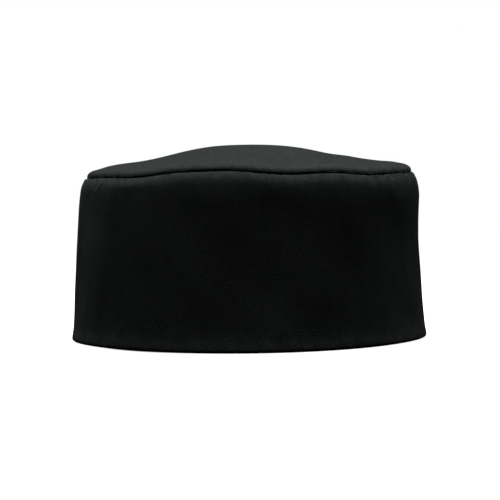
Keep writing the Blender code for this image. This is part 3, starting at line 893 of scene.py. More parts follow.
def seam_relief(reach, stitch_size, tuck_size, gather_size, fade):
    """Relief of cloth near the crown seam, as a function of the angle and of the path point's number.

    reach is each path point's distance outwards from the stitches; the sizes are the depths of the
    stitches' dents, of the small tucks and of the gathers, which die out over the distance fade.
    """
    inside = np.exp(np.minimum(reach, 0.0) / (0.8 * MM))

    def relief(angle, i):
        d = max(reach[i], 0.0)
        strength = gather_strength(angle)
        near = math.exp(-d / (1.3 * MM))
        far = math.exp(-d / fade) * min(d / (1.5 * MM), 1.0)
        sharp = (0.25 - seam_pinch(angle)) * stitch_size * strength * near
        tuck = 0.25 - seam_pinch(angle, TUCK_PITCH, 1.1 * MM, 0.6)
        sharp = sharp + tuck * tuck_size * smooth(strength, 0.35, 1.0) * bell(d, 0.0, 1.9 * MM)
        folds = gather_waves(angle, reach[i]) * gather_size * strength ** 1.5 * far
        crease = crease_waves(angle) * 0.4 * gather_size * strength * math.exp(-d / (0.35 * fade))
        return inside[i] * (sharp + folds + crease * min(d / MM, 1.0))

    return relief


def make_band():
    """The band's twill, gathered into the crown seam and closed by a seam above the slit."""
    path = band_path()
    lengths = path_lengths(path)
    seam = int(np.argmax((path[:, 1] > SHOULDER_TOP - SEAM_ROLL) & (path[:, 0] < SHOULDER_TOP_RADIUS)))
    reach = lengths[seam] - 0.2 * MM - lengths
    gathered = seam_relief(reach, 0.6 * MM, 0.95 * MM, 0.25 * MM, 4.5 * MM)
    high = path[:, 1]
    outer = path[:, 0] > wall_radius(high) - 0.1 * MM
    hem = 0.4 * MM * bell(high, 1.6 * MM, 3.4 * MM) * outer * smooth(high, 0, 1 * MM)
    closed = smooth(high, 55.8 * MM, 58 * MM) * outer
    upward = path_normals(path)[:, 1] * (reach > -2 * MM)
    most = np.where(upward > 0.9, 0.1 * MM, 5 * MM)
    bank = bell(reach, 1.0 * MM, 1.2 * MM)

    def relief(angle, i, ends):
        dip = -0.5 * MM * bell(ends, 0.0, 0.55 * MM) * closed[i]
        puff = 0.12 * MM * bell(ends, 3.5 * MM, 2.2 * MM) * closed[i]
        folds = creases(angle, high[i]) * outer[i] * smooth(reach[i], 0.0, 2 * MM)
        fill = bank[i] * bumps(angle, SHOULDER_FILLS)
        return np.minimum(gathered(angle, i) + folds + fill, most[i]) + hem[i] + dip + puff

    fine = (reach < 16 * MM) & (reach > -9 * MM)
    # Where the rib tops turn paler: real wear at the seam's fold and at the hem, and also a painted
    # highlight under the crown seam and painted light from the table along the hem.
    wear = bell(reach, 1.5 * MM, 3.6 * MM) + 1.2 * bell(high, 0.0, 10 * MM) * outer
    band = turned_panel("band_cloth", path, TWILL, TWILL_CLOTH, slit_half, relief, fine, wear)
    dress(band, "black_twill", "side_band")


def make_band_backing():
    """The stiffener and the lining, which stands up behind the seam allowances."""
    foot = TWILL + GAP + 0.4 * MM
    path = wall_layer(foot, WALL_TOP, STIFFENER_DEPTH, 26)
    stiffener = turned_panel("stiffener_sheet", path, STIFFENER, NONWOVEN, slit_half)
    dress(stiffener, "grey_nonwoven", "band_stiffener")

    top_r = float(wall_radius(WALL_TOP)) - LINING_DEPTH
    path = wall_layer(1.5 * MM, WALL_TOP - 1 * MM, LINING_DEPTH, 40)
    path += [(top_r - 0.02 * MM * k, WALL_TOP + k * MM) for k in (0.5, 2, 4, 6, 8)]
    path = np.array(path)
    clear = smooth(path[:, 1], SWEATBAND_TOP, SWEATBAND_TOP + 6 * MM)
    above = smooth(path[:, 1], WALL_TOP - 6 * MM, WALL_TOP)

    def relief(angle, i, ends):
        wave = 0.13 * MM * inner_waves(angle, path[i][1]) - 0.1 * MM
        tuck = -0.3 * MM * bell(ends, 0.0, 0.6 * MM) * clear[i]
        return -(clear[i] * (1.0 - above[i]) * np.minimum(wave, 0.1 * MM) + tuck)

    lining = turned_panel("band_lining_cloth", path, LINING, POPLIN_CLOTH, slit_half, relief)
    dress(lining, "black_poplin", "band_lining")


def make_sweatband():
    """Towelling round the inside of the hem, with humps of pile between its two rows of stitches."""
    count = 47
    path = np.array(wall_layer(SWEATBAND_TOP, SWEATBAND_FOOT, WALL_DEPTH, count))
    edge = np.minimum(path[:, 1] - SWEATBAND_FOOT, SWEATBAND_TOP - path[:, 1])
    rng = np.random.default_rng(41)
    spread = rng.uniform(0, 2 * math.pi, (count, 2))

    def relief(angle, i, ends):
        sewn = 0.28 * MM * bell(edge[i], STITCH_INSET, 0.8 * MM)
        pile = np.cos(420 * angle + spread[i, 0]) * np.cos(171 * angle + spread[i, 1])
        return 0.12 * MM * pile * min(edge[i] / MM, 1.0) - sewn

    fine = np.ones(count, bool)
    band = turned_panel("sweatband_towelling", path, TERRY, TERRY_CLOTH, slit_half, relief, fine)
    dress(band, "black_terry", "sweatband")
    clear_of_slit = SLIT_HALF_FOOT + BINDING_REACH + 1 * MM
    far = 2 * math.pi * HEM_RADIUS - clear_of_slit
    for name, node, z in (
        ("sweatband_foot_stitches", "sweatband_hem_stitching", SWEATBAND_FOOT + STITCH_INSET),
        ("sweatband_head_stitches", "sweatband_top_stitching", SWEATBAND_TOP - STITCH_INSET),
    ):
        route = level_row(clear_of_slit, far, z)
        row = stitching(name, [route], lambda u, v, p: wall_inside(u, v, p - 0.2 * MM), THREAD, 43)
        dress(row, "black_thread", node)


# ---------------------------------------------------------------- crown


def crown_path():
    """Right side of the crown: up from its allowance, round its rolled edge and in to its centre."""
    face = SHOULDER_TOP_RADIUS - SEAM_ROLL - GAP
    fillet = 0.5 * MM
    tuck_foot = CROWN_WIDEST - CROWN_TUCK
    edge = CROWN_RADIUS - DOME_RADIUS
    squeeze = (DOME_EDGE - CROWN_WIDEST) / edge
    path = [(face, z) for z in np.linspace(SEAM_ALLOWANCE_END, tuck_foot - 1.2 * MM, 4)]
    path += arc((face + fillet, tuck_foot - fillet), fillet, 180, 95, 5)
    path += arc((CROWN_RADIUS - CROWN_TUCK, CROWN_WIDEST), CROWN_TUCK, 280, 352, 6)
    path += arc((DOME_RADIUS, CROWN_WIDEST), edge, 5, 78, 15, squeeze)
    radii = np.concatenate([np.linspace(DOME_RADIUS - 1.6 * MM, 60 * MM, 12), np.linspace(56 * MM, 0.0, 15)])
    path += [(r, float(dome_height(r))) for r in radii]
    return np.array(path)


def make_crown():
    """The crown's twill, puckered at its rolled edge, whose lip comes down over the seam."""
    path = crown_path()
    lengths = path_lengths(path)
    tuck_foot = CROWN_WIDEST - CROWN_TUCK
    seam = int(np.argmax(path[:, 1] > tuck_foot - 0.02 * MM))
    reach = lengths - lengths[seam] + 0.5 * MM
    gathered = seam_relief(reach, 0.35 * MM, 0.15 * MM, 0.22 * MM, 6 * MM)
    fine = (reach > -9 * MM) & (reach < 18 * MM)
    wear = 0.62 * bell(reach, 4 * MM, 3 * MM)
    lip = np.clip(-1.4 * path_normals(path)[:, 1], 0.0, 1.0) * (reach > 0.0) * (reach < 4 * MM)
    most = np.where(lip > 0.4, 0.27 * MM, 5 * MM)
    brim = bell(reach, 1.6 * MM, 1.3 * MM) * (1.0 - lip)

    def relief(angle, i, ends):
        swell = lip[i] * (bumps(angle, LIP_SWELLS) + 0.11 * MM * lip_waves(angle))
        drawn = -brim[i] * bumps(angle, SHOULDER_FILLS)
        return np.minimum(gathered(angle, i) + swell + drawn, most[i])

    crown = turned_panel("crown_cloth", path, TWILL, TWILL_CLOTH, None, relief, fine, wear)
    dress(crown, "black_twill", "crown_panel")


def make_crown_interfacing():
    under = TWILL + GAP
    radii = np.linspace(DOME_RADIUS - 5 * MM, 0.0, 24)
    path = np.array([(r, float(dome_height(r)) - under) for r in radii])
    backing = turned_panel("crown_interfacing_sheet", path, INTERFACING, NONWOVEN)
    dress(backing, "grey_nonwoven", "crown_interfacing")


def make_crown_lining():
    """Slack poplin under the interfacing, with its edge hanging down inside the seam."""
    depth = TWILL + GAP + INTERFACING + GAP
    reach_in = 4.5 * MM
    turn_down = SHOULDER_TOP - 0.5 * MM
    squeeze = (DOME_EDGE - depth - turn_down) / reach_in
    path = [(DOME_RADIUS + reach_in, z) for z in np.linspace(SHOULDER_TOP - 5.5 * MM, turn_down - MM, 4)]
    path += arc((DOME_RADIUS, turn_down), reach_in, 0, 78, 9, squeeze)
    path += [(r, float(dome_height(r)) - depth) for r in np.linspace(DOME_RADIUS - 1 * MM, 0.0, 34)]
    path = np.array(path)
    from_edge = path_lengths(path)

    def slack(angle, i, ends):
        soft = inner_waves(angle, 0.3 * from_edge[i])
        loose = 0.22 * MM * smooth(path[i][0], 6 * MM, 45 * MM)
        edge = smooth(from_edge[i], 4 * MM, 14 * MM)
        return loose * edge * (np.minimum(soft, 0.6) - 0.7)

    lining = turned_panel("crown_lining_cloth", path, LINING, POPLIN_CLOTH, None, slack)
    dress(lining, "black_poplin", "crown_lining")


def make_crown_seam():
    """Bias tape folded over both raw edges inside, and the seam's stitches on the allowance."""
    band_side = SHOULDER_TOP_RADIUS - SEAM_ROLL + TWILL + GAP
    crown_side = SHOULDER_TOP_RADIUS - SEAM_ROLL - GAP - TWILL - GAP
    foot = SEAM_ALLOWANCE_END - GAP
    top = SEAM_ALLOWANCE_END + 5 * MM
    middle = (band_side + crown_side) / 2
    half = (band_side - crown_side) / 2 + LINING
    path = [(crown_side - LINING, z) for z in np.linspace(top, foot + 0.5 * MM, 8)[:-1]]
    path += arc((middle, foot + 0.5 * MM), half, 180, 360, 11, 0.62)
    path += [(band_side + LINING, z) for z in np.linspace(foot + 0.5 * MM, top, 6)[1:]]
    path = np.array(path)
    lengths = path_lengths(path)
    sewn = top - 1.4 * MM
    inner = path[:, 0] < middle

    def relief(angle, i, ends):
        dent = -0.12 * MM * bell(path[i][1], sewn, 0.5 * MM) * inner[i]
        wave = 0.07 * MM * inner_waves(angle, 0.0) * min(lengths[i] / (2 * MM), 1.0) * inner[i]
        return dent + np.maximum(wave, -0.05 * MM)

    tape = turned_panel("seam_tape_cloth", path, LINING, POPLIN_CLOTH, lambda z: 0.1 * MM, relief)
    dress(tape, "black_poplin", "crown_seam_tape")

    def allowance(u, v, proud):
        u, v, proud = np.broadcast_arrays(u, v, proud)
        r = crown_side + 0.15 * MM - proud
        turn = u / HEM_RADIUS
        return settle(np.stack([-r * np.sin(turn), r * np.cos(turn), v], axis=-1))

    def taped(u, v, proud):
        return allowance(u, v, proud + LINING + 0.05 * MM)

    rows = []
    for z, surface, name in ((top + 2.5 * MM, allowance, "crown_seam_stitches"),
                             (sewn, taped, "seam_tape_stitches")):
        route = level_row(0.5 * MM, 2 * math.pi * HEM_RADIUS - 0.5 * MM, z)
        rows.append(stitching(name, [route], surface, THREAD, 47, pitch=SEAM_STITCH))
    dress(rows[0], "black_thread", "crown_seam_stitching")
    dress(rows[1], "black_thread")


# ---------------------------------------------------------------- slit


def slit_outline():
    """(x, z, nx, nz) along the slit's edge, up one side and down the other; n points into the cloth."""
    lean = math.atan2(SLIT_HALF_FOOT - SLIT_HALF_TOP, SLIT_STRAIGHT)
    rows = [(float(slit_half(z)), z, math.cos(lean), math.sin(lean))
            for z in np.linspace(0.9 * MM, SLIT_STRAIGHT - 0.5 * MM, 56)]
    for turn in np.radians(np.linspace(6.0, 90.0, 15)):
        c, s = math.cos(turn), math.sin(turn)
        rows.append((SLIT_HALF_TOP * c, SLIT_STRAIGHT + SLIT_HALF_TOP * s, c, s))
    mirrored = [(-x, z, -nx, nz) for x, z, nx, nz in reversed(rows[:-1])]
    return np.array(rows + mirrored)


def inner_face_depth(z):
    """Depth of the wall's innermost face: the sweatband's, and the lining's above it."""
    above = smooth(z, SWEATBAND_TOP + 1.5 * MM, SWEATBAND_TOP + 8 * MM)
    return WALL_DEPTH + GAP + (LINING_DEPTH + LINING - WALL_DEPTH) * above


def slit_point(edges, offset, proud):
    """Points offset into the cloth from the slit's edge, at a depth through the wall."""
    x = edges[..., 0] + edges[..., 2] * offset
    z = edges[..., 1] + edges[..., 3] * offset
    r = wall_radius(z) + proud
    return settle(np.stack([x, np.sqrt(r * r - x * x), z], axis=-1))


def binding_section(inner):
    """(offset, proud) round the closed section of the folded strip; inner is the wall's depth there."""
    lip = -GAP * 2 / 3
    face = lip - BINDING
    reach = BINDING_REACH
    outer = GAP + BINDING
    back = -inner - BINDING
    spots = [(reach, outer - 0.12 * MM), (reach - 0.25 * MM, outer), (3.9 * MM, outer), (3.2 * MM, outer)]
    spots += [(2.2 * MM, outer), (1.2 * MM, outer), (0.4 * MM, outer - 0.03 * MM)]
    spots += [(face + 0.35 * MM, outer - 0.12 * MM), (face + 0.08 * MM, outer - 0.4 * MM)]
    spots += [(face, outer - 0.8 * MM), (face, (outer + back) / 2), (face, back + 0.8 * MM)]
    spots += [(face + 0.08 * MM, back + 0.4 * MM), (face + 0.35 * MM, back + 0.12 * MM)]
    spots += [(1.2 * MM, back), (3.2 * MM, back), (reach - 0.25 * MM, back), (reach, back + 0.12 * MM)]
    spots += [(reach, -inner), (1.0 * MM, -inner), (lip, -inner)]
    spots += [(lip, -inner / 2), (lip, GAP), (1.5 * MM, GAP), (reach, GAP)]
    return spots


def make_slit_binding():
    """The bias strip folded over the slit's edges."""
    edges = slit_outline()
    lengths = path_lengths(edges[:, :2])
    rings, flats = [], []
    for edge, at in zip(edges, lengths):
        section = np.array(binding_section(float(inner_face_depth(edge[1]))))
        offset, proud = section[:, 0], section[:, 1].copy()
        ripple = 0.05 * MM * math.sin(at / (1.7 * MM)) + 0.04 * MM * math.sin(at / (0.61 * MM) + 1.0)
        sewn = bell(offset, BINDING_REACH - 1.2 * MM, 0.6 * MM)
        front = proud > GAP + 0.2 * MM
        proud[front] += ripple - 0.1 * MM * sewn[front] + 0.05 * MM
        rings.append(slit_point(np.repeat(edge[None], len(section), axis=0), offset, proud))
        round_it = path_lengths(section)
        flats.append(np.stack([round_it, np.full_like(round_it, at)], axis=1))
    n, m = len(rings), len(rings[0])
    index = np.arange(n * m).reshape(n, m)
    after = np.roll(index, -1, axis=1)
    quads = np.stack([index[:-1], after[:-1], after[1:], index[1:]], axis=-1).reshape(-1, 4)
    faces = quads.tolist()
    faces.append(index[0, ::-1].tolist())
    faces.append(index[-1].tolist())
    edge_wear = np.tile(bell(np.arange(m), BINDING_EDGE_POINT, 3.0), n)
    points, flat = np.concatenate(rings), np.concatenate(flats)
    binding = make_object("slit_binding_cloth", points, faces, flat, TWILL_CLOTH, edge_wear)
    dress(binding, "black_twill", "slit_binding")


def make_slit_stitches():
    """The row of stitches along the binding, and the bar tack above the slit."""
    edges = slit_outline()
    lengths = path_lengths(edges[:, :2])
    proud = GAP + BINDING - 0.05 * MM

    def beside(u, v, lift):
        """u along the slit's edge, v into the cloth."""
        at = np.clip(u, 0.0, lengths[-1])
        spot = np.stack([np.interp(at, lengths, edges[:, c]) for c in range(4)], axis=-1)
        return slit_point(spot, v, proud + lift)

    along = np.linspace(1.0 * MM, lengths[-1] - 1.0 * MM, 240)
    route = np.stack([along, np.full_like(along, BINDING_REACH - 1.2 * MM)], axis=1)
    row = stitching("slit_binding_stitches", [route], beside, THREAD, 53)
    dress(row, "black_thread", "slit_binding_stitching")

    bar_z = SLIT_STRAIGHT + SLIT_HALF_TOP + 1.8 * MM
    half, tall = 2.4 * MM, 0.75 * MM

    def above(u, v, lift):
        return round_back(u, v, proud + lift + 0.05 * MM)

    routes = []
    for k, s in enumerate(np.linspace(-half, half, 15)):
        wobble = 0.06 * MM * (-1) ** k
        routes.append([(s - 0.08 * MM, bar_z - tall + wobble), (s + 0.08 * MM, bar_z + tall + wobble)])
    bar = stitching("slit_bartack_stitches", routes, above, THREAD, 59,
                    pitch=2 * tall, radius=0.17 * MM, cover=1.0)
    dress(bar, "black_thread", "slit_bartack")


def make_care_label():
    """Blank woven label on the lining above the slit, held by a stitched rectangle."""
    low, high, half = 62 * MM, 75 * MM, 12 * MM
    back = -(LINING_DEPTH + LINING) - 1.5 * GAP
    s, z = np.meshgrid(np.linspace(-half, half, 61), np.linspace(low, high, 34), indexing="ij")
    edge = np.minimum.reduce([s + half, half - s, z - low, high - z])
    curl = 0.22 * MM * np.exp(-edge / (0.7 * MM)) * (0.5 + 0.5 * np.sin(s / (3.1 * MM) + z / (4 * MM)))
    puff = 0.12 * MM * np.sin(s / (4.3 * MM)) * np.sin(z / (3 * MM))
    rim = 1.0 * MM
    dent = 0.08 * MM * bell(edge, rim, 0.4 * MM)
    inward = back - LINING * 0.6 - curl - puff + dent
    label = patch("care_label_cloth", s, z, inward, inward + 0.25 * MM, SATIN)
    dress(label, "white_satin", "care_label")
    frame_route = [(-half + rim, low + rim), (half - rim, low + rim), (half - rim, high - rim),
                   (-half + rim, high - rim), (-half + rim, low + rim)]
    sides = [frame_route[k:k + 2] for k in range(4)]
    lie = back - LINING * 0.6 - 0.06 * MM
    row = stitching("care_label_stitches", sides, lambda u, v, p: round_back(u, v, lie - p), THREAD, 61,
                    pitch=2.0 * MM, radius=0.13 * MM)
    dress(row, "black_thread", "care_label_stitching")


# ---------------------------------------------------------------- closure tab


def tab_level(s):
    """How proud the tab's underside is: flat where sewn, over the binding, then over the tapes."""
    over_binding = 3 * GAP + BINDING + 0.15 * MM
    over_tapes = 2 * TAPE + 3 * GAP
    climb = smooth(s, HINGE_S + 1 * MM, HINGE_S + 6 * MM)
    second = smooth(s, HOOK_START - 7 * MM, HOOK_START - 1 * MM)
    return GAP + (over_binding - GAP) * climb + (over_tapes - over_binding) * second


def outer_level(s):
    """How proud the tab's outer face is, before its rim, grooves and waves."""
    return tab_level(s) + LINING + GAP + TWILL


def edge_distance(s, z, start, end, low, high, corner, start_corner=0.3 * MM):
    """Distance inwards from the edge of a strap with round corners at its far end."""
    middle = (start + end) / 2
    rounding = np.where(s > middle, corner, start_corner)
    qx = np.abs(s - middle) - (end - start) / 2 + rounding
    qz = np.abs(z - (low + high) / 2) - (high - low) / 2 + rounding
    outside = np.hypot(np.maximum(qx, 0.0), np.maximum(qz, 0.0))
    return -(outside + np.minimum(np.maximum(qx, qz), 0.0) - rounding)


def clustered(start, end, count, edge):
    """count values from start to end, with a few more close to each end."""
    extra = np.array([0.0, 0.12, 0.3, 0.55, 0.85, 1.2]) * edge
    middle = np.linspace(start + 1.7 * edge, end - 1.7 * edge, count)
    return np.concatenate([start + extra, middle, (end - extra)[::-1]])


def strap_grid(start, end, low, high, corner, columns, rows):
    """Grids of s and z that fill a strap whose far end has two round corners."""
    straight = clustered(start, end - corner, columns, 0.6 * MM)
    turns = np.radians(np.linspace(6, 90, 16))
    s = np.concatenate([straight, end - corner + corner * np.sin(turns)])
    cut = np.concatenate([np.zeros_like(straight), corner * (1.0 - np.cos(turns))])
    share = clustered(0.0, 1.0, rows, 0.6 * MM / (high - low))
    grid_s = np.repeat(s[:, None], len(share), axis=1)
    grid_z = (low + cut)[:, None] + ((high - low) - 2 * cut)[:, None] * share[None, :]
    return grid_s, grid_z


def near_segments(s, z, segments):
    """Distance to the nearest of some straight stitch lines."""
    best = np.full(s.shape, 1.0)
    for (a0, a1), (b0, b1) in segments:
        du, dv = b0 - a0, b1 - a1
        t = np.clip(((s - a0) * du + (z - a1) * dv) / (du * du + dv * dv), 0.0, 1.0)
        best = np.minimum(best, np.hypot(s - a0 - t * du, z - a1 - t * dv))
    return best


def base_box():
    """Corners of the stitched box that holds the tab's sewn end."""
    start, end = BASE_START + STITCH_INSET, HINGE_S - STITCH_INSET
    low, high = TAB_LOW + STITCH_INSET, TAB_HIGH - STITCH_INSET
    return [(start, low), (end, low), (end, high), (start, high)]


def base_segments():
    """The sides of the stitched box and its two diagonals."""
    a, b, c, d = base_box()
    return [(a, b), (b, c), (c, d), (d, a), (a, c), (d, b)]


def free_edge_route(points=60):
    """Topstitching round the tab's free end, from its fold to its far end and back."""
    low, high = TAB_LOW + STITCH_INSET, TAB_HIGH - STITCH_INSET
    end, corner = TAB_END - STITCH_INSET, TAB_CORNER - STITCH_INSET
    start = HINGE_S + 2.5 * MM
    route = [(s, low) for s in np.linspace(start, end - corner, points)]
    for turn in np.radians(np.linspace(10, 90, 8)):
        route.append((end - corner + corner * math.sin(turn), low + corner * (1 - math.cos(turn))))
    return route + [(s, low + high - z) for s, z in route[::-1]]


def tab_top(s, z):
    """How proud the tab's outer face is, with its soft rim, stitch grooves and slight waves."""
    d = edge_distance(s, z, BASE_START, TAB_END, TAB_LOW, TAB_HIGH, TAB_CORNER)
    rim = 0.62 * MM
    inset = np.clip(d / rim, 0.0, 1.0)
    fall = rim * (1.0 - np.sqrt(1.0 - (1.0 - inset) ** 2))
    free = smooth(s, HINGE_S + 0.8 * MM, HINGE_S + 2.0 * MM)
    to_stitches = near_segments(s, z, base_segments())
    groove = free * bell(d, STITCH_INSET, STITCH_GROOVE)
    sewn = (1.0 - free) * bell(to_stitches, 0.0, STITCH_GROOVE)
    puff = 0.13 * MM * bell(d, 1.35 * MM, 0.6 * MM)
    middle = smooth(d, 3 * MM, 6 * MM)
    pillow = (1.0 - free) * 0.12 * MM * smooth(to_stitches, 0.4 * MM, 2 * MM)
    wave = 0.1 * MM * np.sin(s / (5.3 * MM) + 0.7) * np.cos(z / (6.1 * MM)) * middle
    pucker = 0.045 * MM * np.sin(2 * math.pi * s / STITCH_PITCH) * bell(d, 2.3 * MM, 1.1 * MM)
    return outer_level(s) - fall - 0.17 * MM * (groove + sewn) + puff + wave + pillow + pucker


def make_tab():
    """The tab: one strap of cloth with turned edges, sewn down at one end and free at the other."""
    grid = (BASE_START, TAB_END, TAB_LOW, TAB_HIGH, TAB_CORNER)
    s, z = strap_grid(*grid, 150, 40)
    d = edge_distance(s, z, *grid)
    over = tab_top(s, z)
    round_under = 0.5 * MM * (1.0 - np.sqrt(1.0 - (1.0 - np.clip(d / (0.5 * MM), 0, 1)) ** 2))
    room = (LINING + GAP * 0.7) * smooth(d, 0.95 * MM, 1.25 * MM)
    under = np.minimum(tab_level(s) + 0.04 * MM + round_under + room, over - 0.12 * MM)
    wear = bell(d, 0.3 * MM, 0.7 * MM)
    strap = patch("tab_cloth", s, z, under, over, TWILL_CLOTH, wear)
    dress(strap, "black_twill", "tab_base", "tab_outer", body=None)
    either_side = HINGE_S + np.array([-1.6, 1.6]) * MM
    fold = round_back(either_side, (TAB_LOW + TAB_HIGH) / 2, outer_level(HINGE_S))
    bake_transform(strap)

    inset = 1.25 * MM
    grid = (BASE_START + inset, TAB_END - inset, TAB_LOW + inset, TAB_HIGH - inset, TAB_CORNER - inset)
    s, z = strap_grid(*grid, 110, 24)
    d = edge_distance(s, z, *grid)
    edge = 0.15 * MM * np.exp(-d / (0.12 * MM))
    low = tab_level(s) + edge + 0.02 * MM * np.sin(s / (2.3 * MM)) * np.cos(z / (2 * MM))
    facing = patch("tab_facing_cloth", s, z, low, tab_level(s) + LINING - edge, POPLIN_CLOTH)
    dress(facing, "black_poplin", "tab_facing", body=None)
    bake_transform(facing)

    def on_tab(u, v, proud):
        return round_back(u, v, tab_top(u, v) + proud)

    row = stitching("tab_edge_stitches", [free_edge_route()], on_tab, THREAD, 67)
    dress(row, "black_thread", "tab_topstitching", body="closure_tab")
    box = stitching("tab_base_stitches", base_segments(), on_tab, THREAD, 71)
    dress(box, "black_thread", "tab_base_stitching")


def bent_threads(spots, proud, rise, reach, direction, radius, sides, name, finish):
    """Small bent threads on a tape, at (s, z) spots: how they rise, and reach in their directions."""
    count = len(spots)
    steps = len(rise)
    share = reach[None, :]
    s = spots[:, :1] + direction[:, :1] * share
    z = spots[:, 1:] + direction[:, 1:] * share
    lift = np.broadcast_to(rise[None, :], (count, steps))
    lines = round_back(s, z, proud + lift)
    ups = round_back(s + direction[:, 1:] * MM, z - direction[:, :1] * MM, proud + lift) - lines
    return tubes(name, lines, ups, radius, sides, finish)


def join_into(whole, part):
    """Makes part's mesh a piece of whole's."""
    with bpy.context.temp_override(active_object=whole, selected_editable_objects=[whole, part]):
        bpy.ops.object.join()
    return whole


def pile_spots(start, end, low, high, pitch_s, pitch_z, rng, jitter):
    """Places for a tape's pile, in staggered rows."""
    spots = []
    rows = int((high - low) / pitch_z)
    for j in range(rows + 1):
        shift = 0.5 * pitch_s * (j % 2)
        for s in np.arange(start + shift, end, pitch_s):
            spots.append((s, low + j * (high - low) / rows))
    spots = np.array(spots)
    return spots + rng.normal(0.0, jitter, spots.shape)


TAPE_LOW = TAB_LOW + TAPE_INSET
TAPE_HIGH = TAB_HIGH - TAPE_INSET
TAPE_GROUND = 0.32 * MM  # thickness of the woven ground that the pile stands on
TAPE_RIM = 0.9 * MM  # width of the bare edge round the pile


LOOP_RISE = np.array([-0.05, 0.2, 0.33, 0.3, 0.16, -0.05]) * MM  # heights along one loop of the pile
LOOP_REACH = np.array([-0.3, -0.26, -0.08, 0.14, 0.27, 0.3]) * MM  # and how far along the tape it is
HOOK_RISE = np.array([-0.05, 0.14, 0.26, 0.32, 0.28, 0.2]) * MM
HOOK_REACH = np.array([0.0, 0.0, 0.03, 0.12, 0.22, 0.25]) * MM


def make_loop_tape(rng):
    """The loop tape on the band, with its pile of small loops."""
    low, high, ground, rim = TAPE_LOW, TAPE_HIGH, TAPE_GROUND, TAPE_RIM
    s, z = np.meshgrid(np.linspace(LOOP_START, LOOP_END, 90), np.linspace(low, high, 37), indexing="ij")
    edge = np.minimum.reduce([s - LOOP_START, LOOP_END - s, z - low, high - z])
    soft = 0.12 * MM * np.exp(-edge / (0.3 * MM))
    tape = patch("loop_tape_cloth", s, z, GAP + 0 * s, GAP + ground + 0.08 * MM - soft, LOOP_NYLON)
    box = (LOOP_START + rim, LOOP_END - rim, low + rim, high - rim)
    spots = pile_spots(*box, 0.66 * MM, 0.62 * MM, rng, 0.13 * MM)
    turn = rng.uniform(0, 2 * math.pi, len(spots))
    direction = np.stack([np.cos(turn), np.sin(turn)], axis=1)
    loops = bent_threads(spots, GAP + ground, LOOP_RISE, LOOP_REACH, direction, 0.035 * MM, 4,
                         "loop_pile", LOOP_NYLON)
    join_into(tape, loops)
    dress(tape, "black_loop_tape", "loop_tape")
    first, last, sewn_low, sewn_high = box
    corners = [(last, sewn_low), (last, sewn_high), (first, sewn_high), (first, sewn_low), (last, sewn_low)]
    route = [corners[k:k + 2] for k in range(4)]
    lie = GAP + ground + 0.1 * MM
    row = stitching("loop_tape_stitches", route, lambda u, v, p: round_back(u, v, lie + p), THREAD, 79,
                    radius=0.13 * MM)
    dress(row, "black_thread", "loop_tape_stitching")


def make_hook_tape(rng):
    """The hook tape under the tab's free end, with its hooks leaning both ways."""
    low, high, ground, rim = TAPE_LOW, TAPE_HIGH, TAPE_GROUND, TAPE_RIM
    corner = TAB_CORNER - TAPE_INSET
    s, z = strap_grid(HOOK_START, HOOK_END, low, high, corner, 50, 24)
    top = 2 * GAP + 2 * TAPE
    d = edge_distance(s, z, HOOK_START, HOOK_END, low, high, corner)
    soft = 0.08 * MM * np.exp(-d / (0.2 * MM))
    tape = patch("hook_tape_cloth", s, z, top - ground + soft, top + 0 * s, HOOK_NYLON)
    box = (HOOK_START + rim, HOOK_END - rim, low + rim, high - rim)
    spots = pile_spots(*box, 1.05 * MM, 0.9 * MM, rng, 0.02 * MM)
    spots = spots[edge_distance(spots[:, 0], spots[:, 1], HOOK_START, HOOK_END, low, high, corner) > rim]
    lean = np.where((np.arange(len(spots)) % 2) == 0, 1.0, -1.0)
    direction = np.stack([lean, 0.25 * rng.normal(size=len(spots))], axis=1)
    hooks = bent_threads(spots, top - ground, -HOOK_RISE, HOOK_REACH, direction, 0.06 * MM, 5,
                         "hook_pile", HOOK_NYLON)
    join_into(tape, hooks)
    dress(tape, "black_hook_tape", "hook_tape", body="closure_tab")


# ---------------------------------------------------------------- studio


# Radii between which the floor's glow fades out under the hat: a painted shadow.
SHADOW_PAINTED_UNDER_HAT = (HEM_RADIUS - 14.5 * MM, HEM_RADIUS - 11.5 * MM)
OVERHEAD_POWER = 5.75
CAMERA_PLACE = Vector((0.0, -0.889, 0.068))
CAMERA_TARGET = Vector((0.00115, 0.0, 0.048))
CAMERA_LENS = 119.1
CAMERA_ROLL = math.radians(-1.0)


def make_floor():
    """A pale floor that shines by itself so that it stays even and white, with a painted shadow under the
    hat where its glow fades out.
    """
    size = 6.0
    mesh = bpy.data.meshes.new("floor")
    corners = [(-size, -size, 0), (size, -size, 0), (size, size, 0), (-size, size, 0)]
    mesh.from_pydata(corners, [], [(0, 1, 2, 3)])
    g = Graph("pale_floor", 0.9)
    forward = g.vector("ADD", g.place(), (0.0, 5 * MM, 0.0))
    away = g.vector("LENGTH", forward)
    g.put(g.shader.inputs["Emission Color"], grey(1.0))
    # The glow is taken away under the hat as a painted shadow.
    g.put(g.shader.inputs["Emission Strength"], g.ramp(away, *SHADOW_PAINTED_UNDER_HAT))
    finish = g.finish(grey(0.9))
    finish.cycles.emission_sampling = "NONE"
    mesh.materials.append(finish)
    floor = bpy.data.objects.new("floor", mesh)
    bpy.context.scene.collection.objects.link(floor)
    floor.location.z = -0.2 * MM
    floor.visible_diffuse = False
    floor.visible_glossy = False


def area_light(name, place, size, power, target=(0.0, 0.0, 0.05), colour=(1.0, 1.0, 1.0)):
    light = bpy.data.lights.new(name, "AREA")
    light.shape = "RECTANGLE"
    light.size, light.size_y = size
    light.energy = power
    light.color = colour
    obj = bpy.data.objects.new(name, light)
    bpy.context.scene.collection.objects.link(obj)
    obj.location = place
    obj.rotation_euler = (Vector(target) - Vector(place)).to_track_quat("-Z", "Y").to_euler()
    obj.visible_camera = False
    return obj


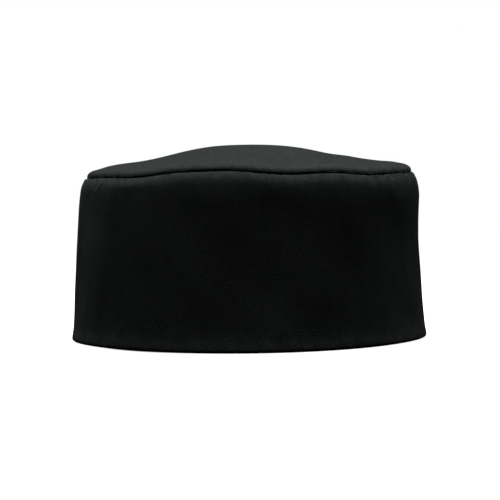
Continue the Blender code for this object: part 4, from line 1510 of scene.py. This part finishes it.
def make_lights():
    """Four soft boxes overhead, which light the crown and graze the wall, and three faint fills."""
    for name, x, y in (("a", -0.25, -0.27), ("b", 0.25, -0.27), ("c", -0.25, 0.23), ("d", 0.25, 0.23)):
        area_light("overhead_softbox_" + name, (x, y, 1.3), (0.5, 0.5), OVERHEAD_POWER, (x, y, 0.0),
                   colour=(0.9, 1.0, 0.97))
    area_light("front_fill", (0.0, -2.2, 0.5), (1.6, 1.0), 0.03)
    area_light("left_softbox", (-1.23, 0.86, 0.35), (0.9, 0.9), 0.15)
    area_light("right_softbox", (1.23, 0.86, 0.35), (0.9, 0.9), 0.15)


WORLD_LIGHT = 0.002


def make_world():
    """White where the camera sees it, and dim as a light."""
    world = bpy.data.worlds.new("studio")
    world.use_nodes = True
    tree = world.node_tree
    tree.nodes.clear()
    white = tree.nodes.new("ShaderNodeBackground")
    dim = tree.nodes.new("ShaderNodeBackground")
    dim.inputs["Color"].default_value = grey(WORLD_LIGHT)
    seen = tree.nodes.new("ShaderNodeLightPath")
    mix = tree.nodes.new("ShaderNodeMixShader")
    out = tree.nodes.new("ShaderNodeOutputWorld")
    tree.links.new(seen.outputs["Is Camera Ray"], mix.inputs[0])
    tree.links.new(dim.outputs[0], mix.inputs[1])
    tree.links.new(white.outputs[0], mix.inputs[2])
    tree.links.new(mix.outputs[0], out.inputs[0])
    white.inputs["Color"].default_value = grey(1.0)
    bpy.context.scene.world = world


def make_camera():
    """Seen level from the front, from about 0.9 m, with a slight roll."""
    data = bpy.data.cameras.new("camera")
    data.lens = CAMERA_LENS
    data.sensor_width = 36.0
    data.clip_start, data.clip_end = 0.01, 50.0
    camera = bpy.data.objects.new("camera", data)
    bpy.context.scene.collection.objects.link(camera)
    look = (CAMERA_TARGET - CAMERA_PLACE).to_track_quat("-Z", "Y").to_matrix().to_4x4()
    roll = Matrix.Rotation(CAMERA_ROLL, 4, "Z")
    camera.matrix_world = Matrix.Translation(CAMERA_PLACE) @ look @ roll
    bpy.context.scene.camera = camera


def make_studio():
    make_floor()
    make_lights()
    make_world()
    make_camera()
    scene = bpy.context.scene
    scene.view_settings.view_transform = "Standard"
    scene.view_settings.look = "None"
    scene.view_settings.exposure = 0.0
    scene.view_settings.gamma = 1.0


make_studio()
make_band()
make_band_backing()
make_sweatband()
make_crown()
make_crown_interfacing()
make_crown_lining()
make_crown_seam()
make_slit_binding()
make_slit_stitches()
make_care_label()
make_tab()
pile_rng = np.random.default_rng(73)
make_loop_tape(pile_rng)
make_hook_tape(pile_rng)
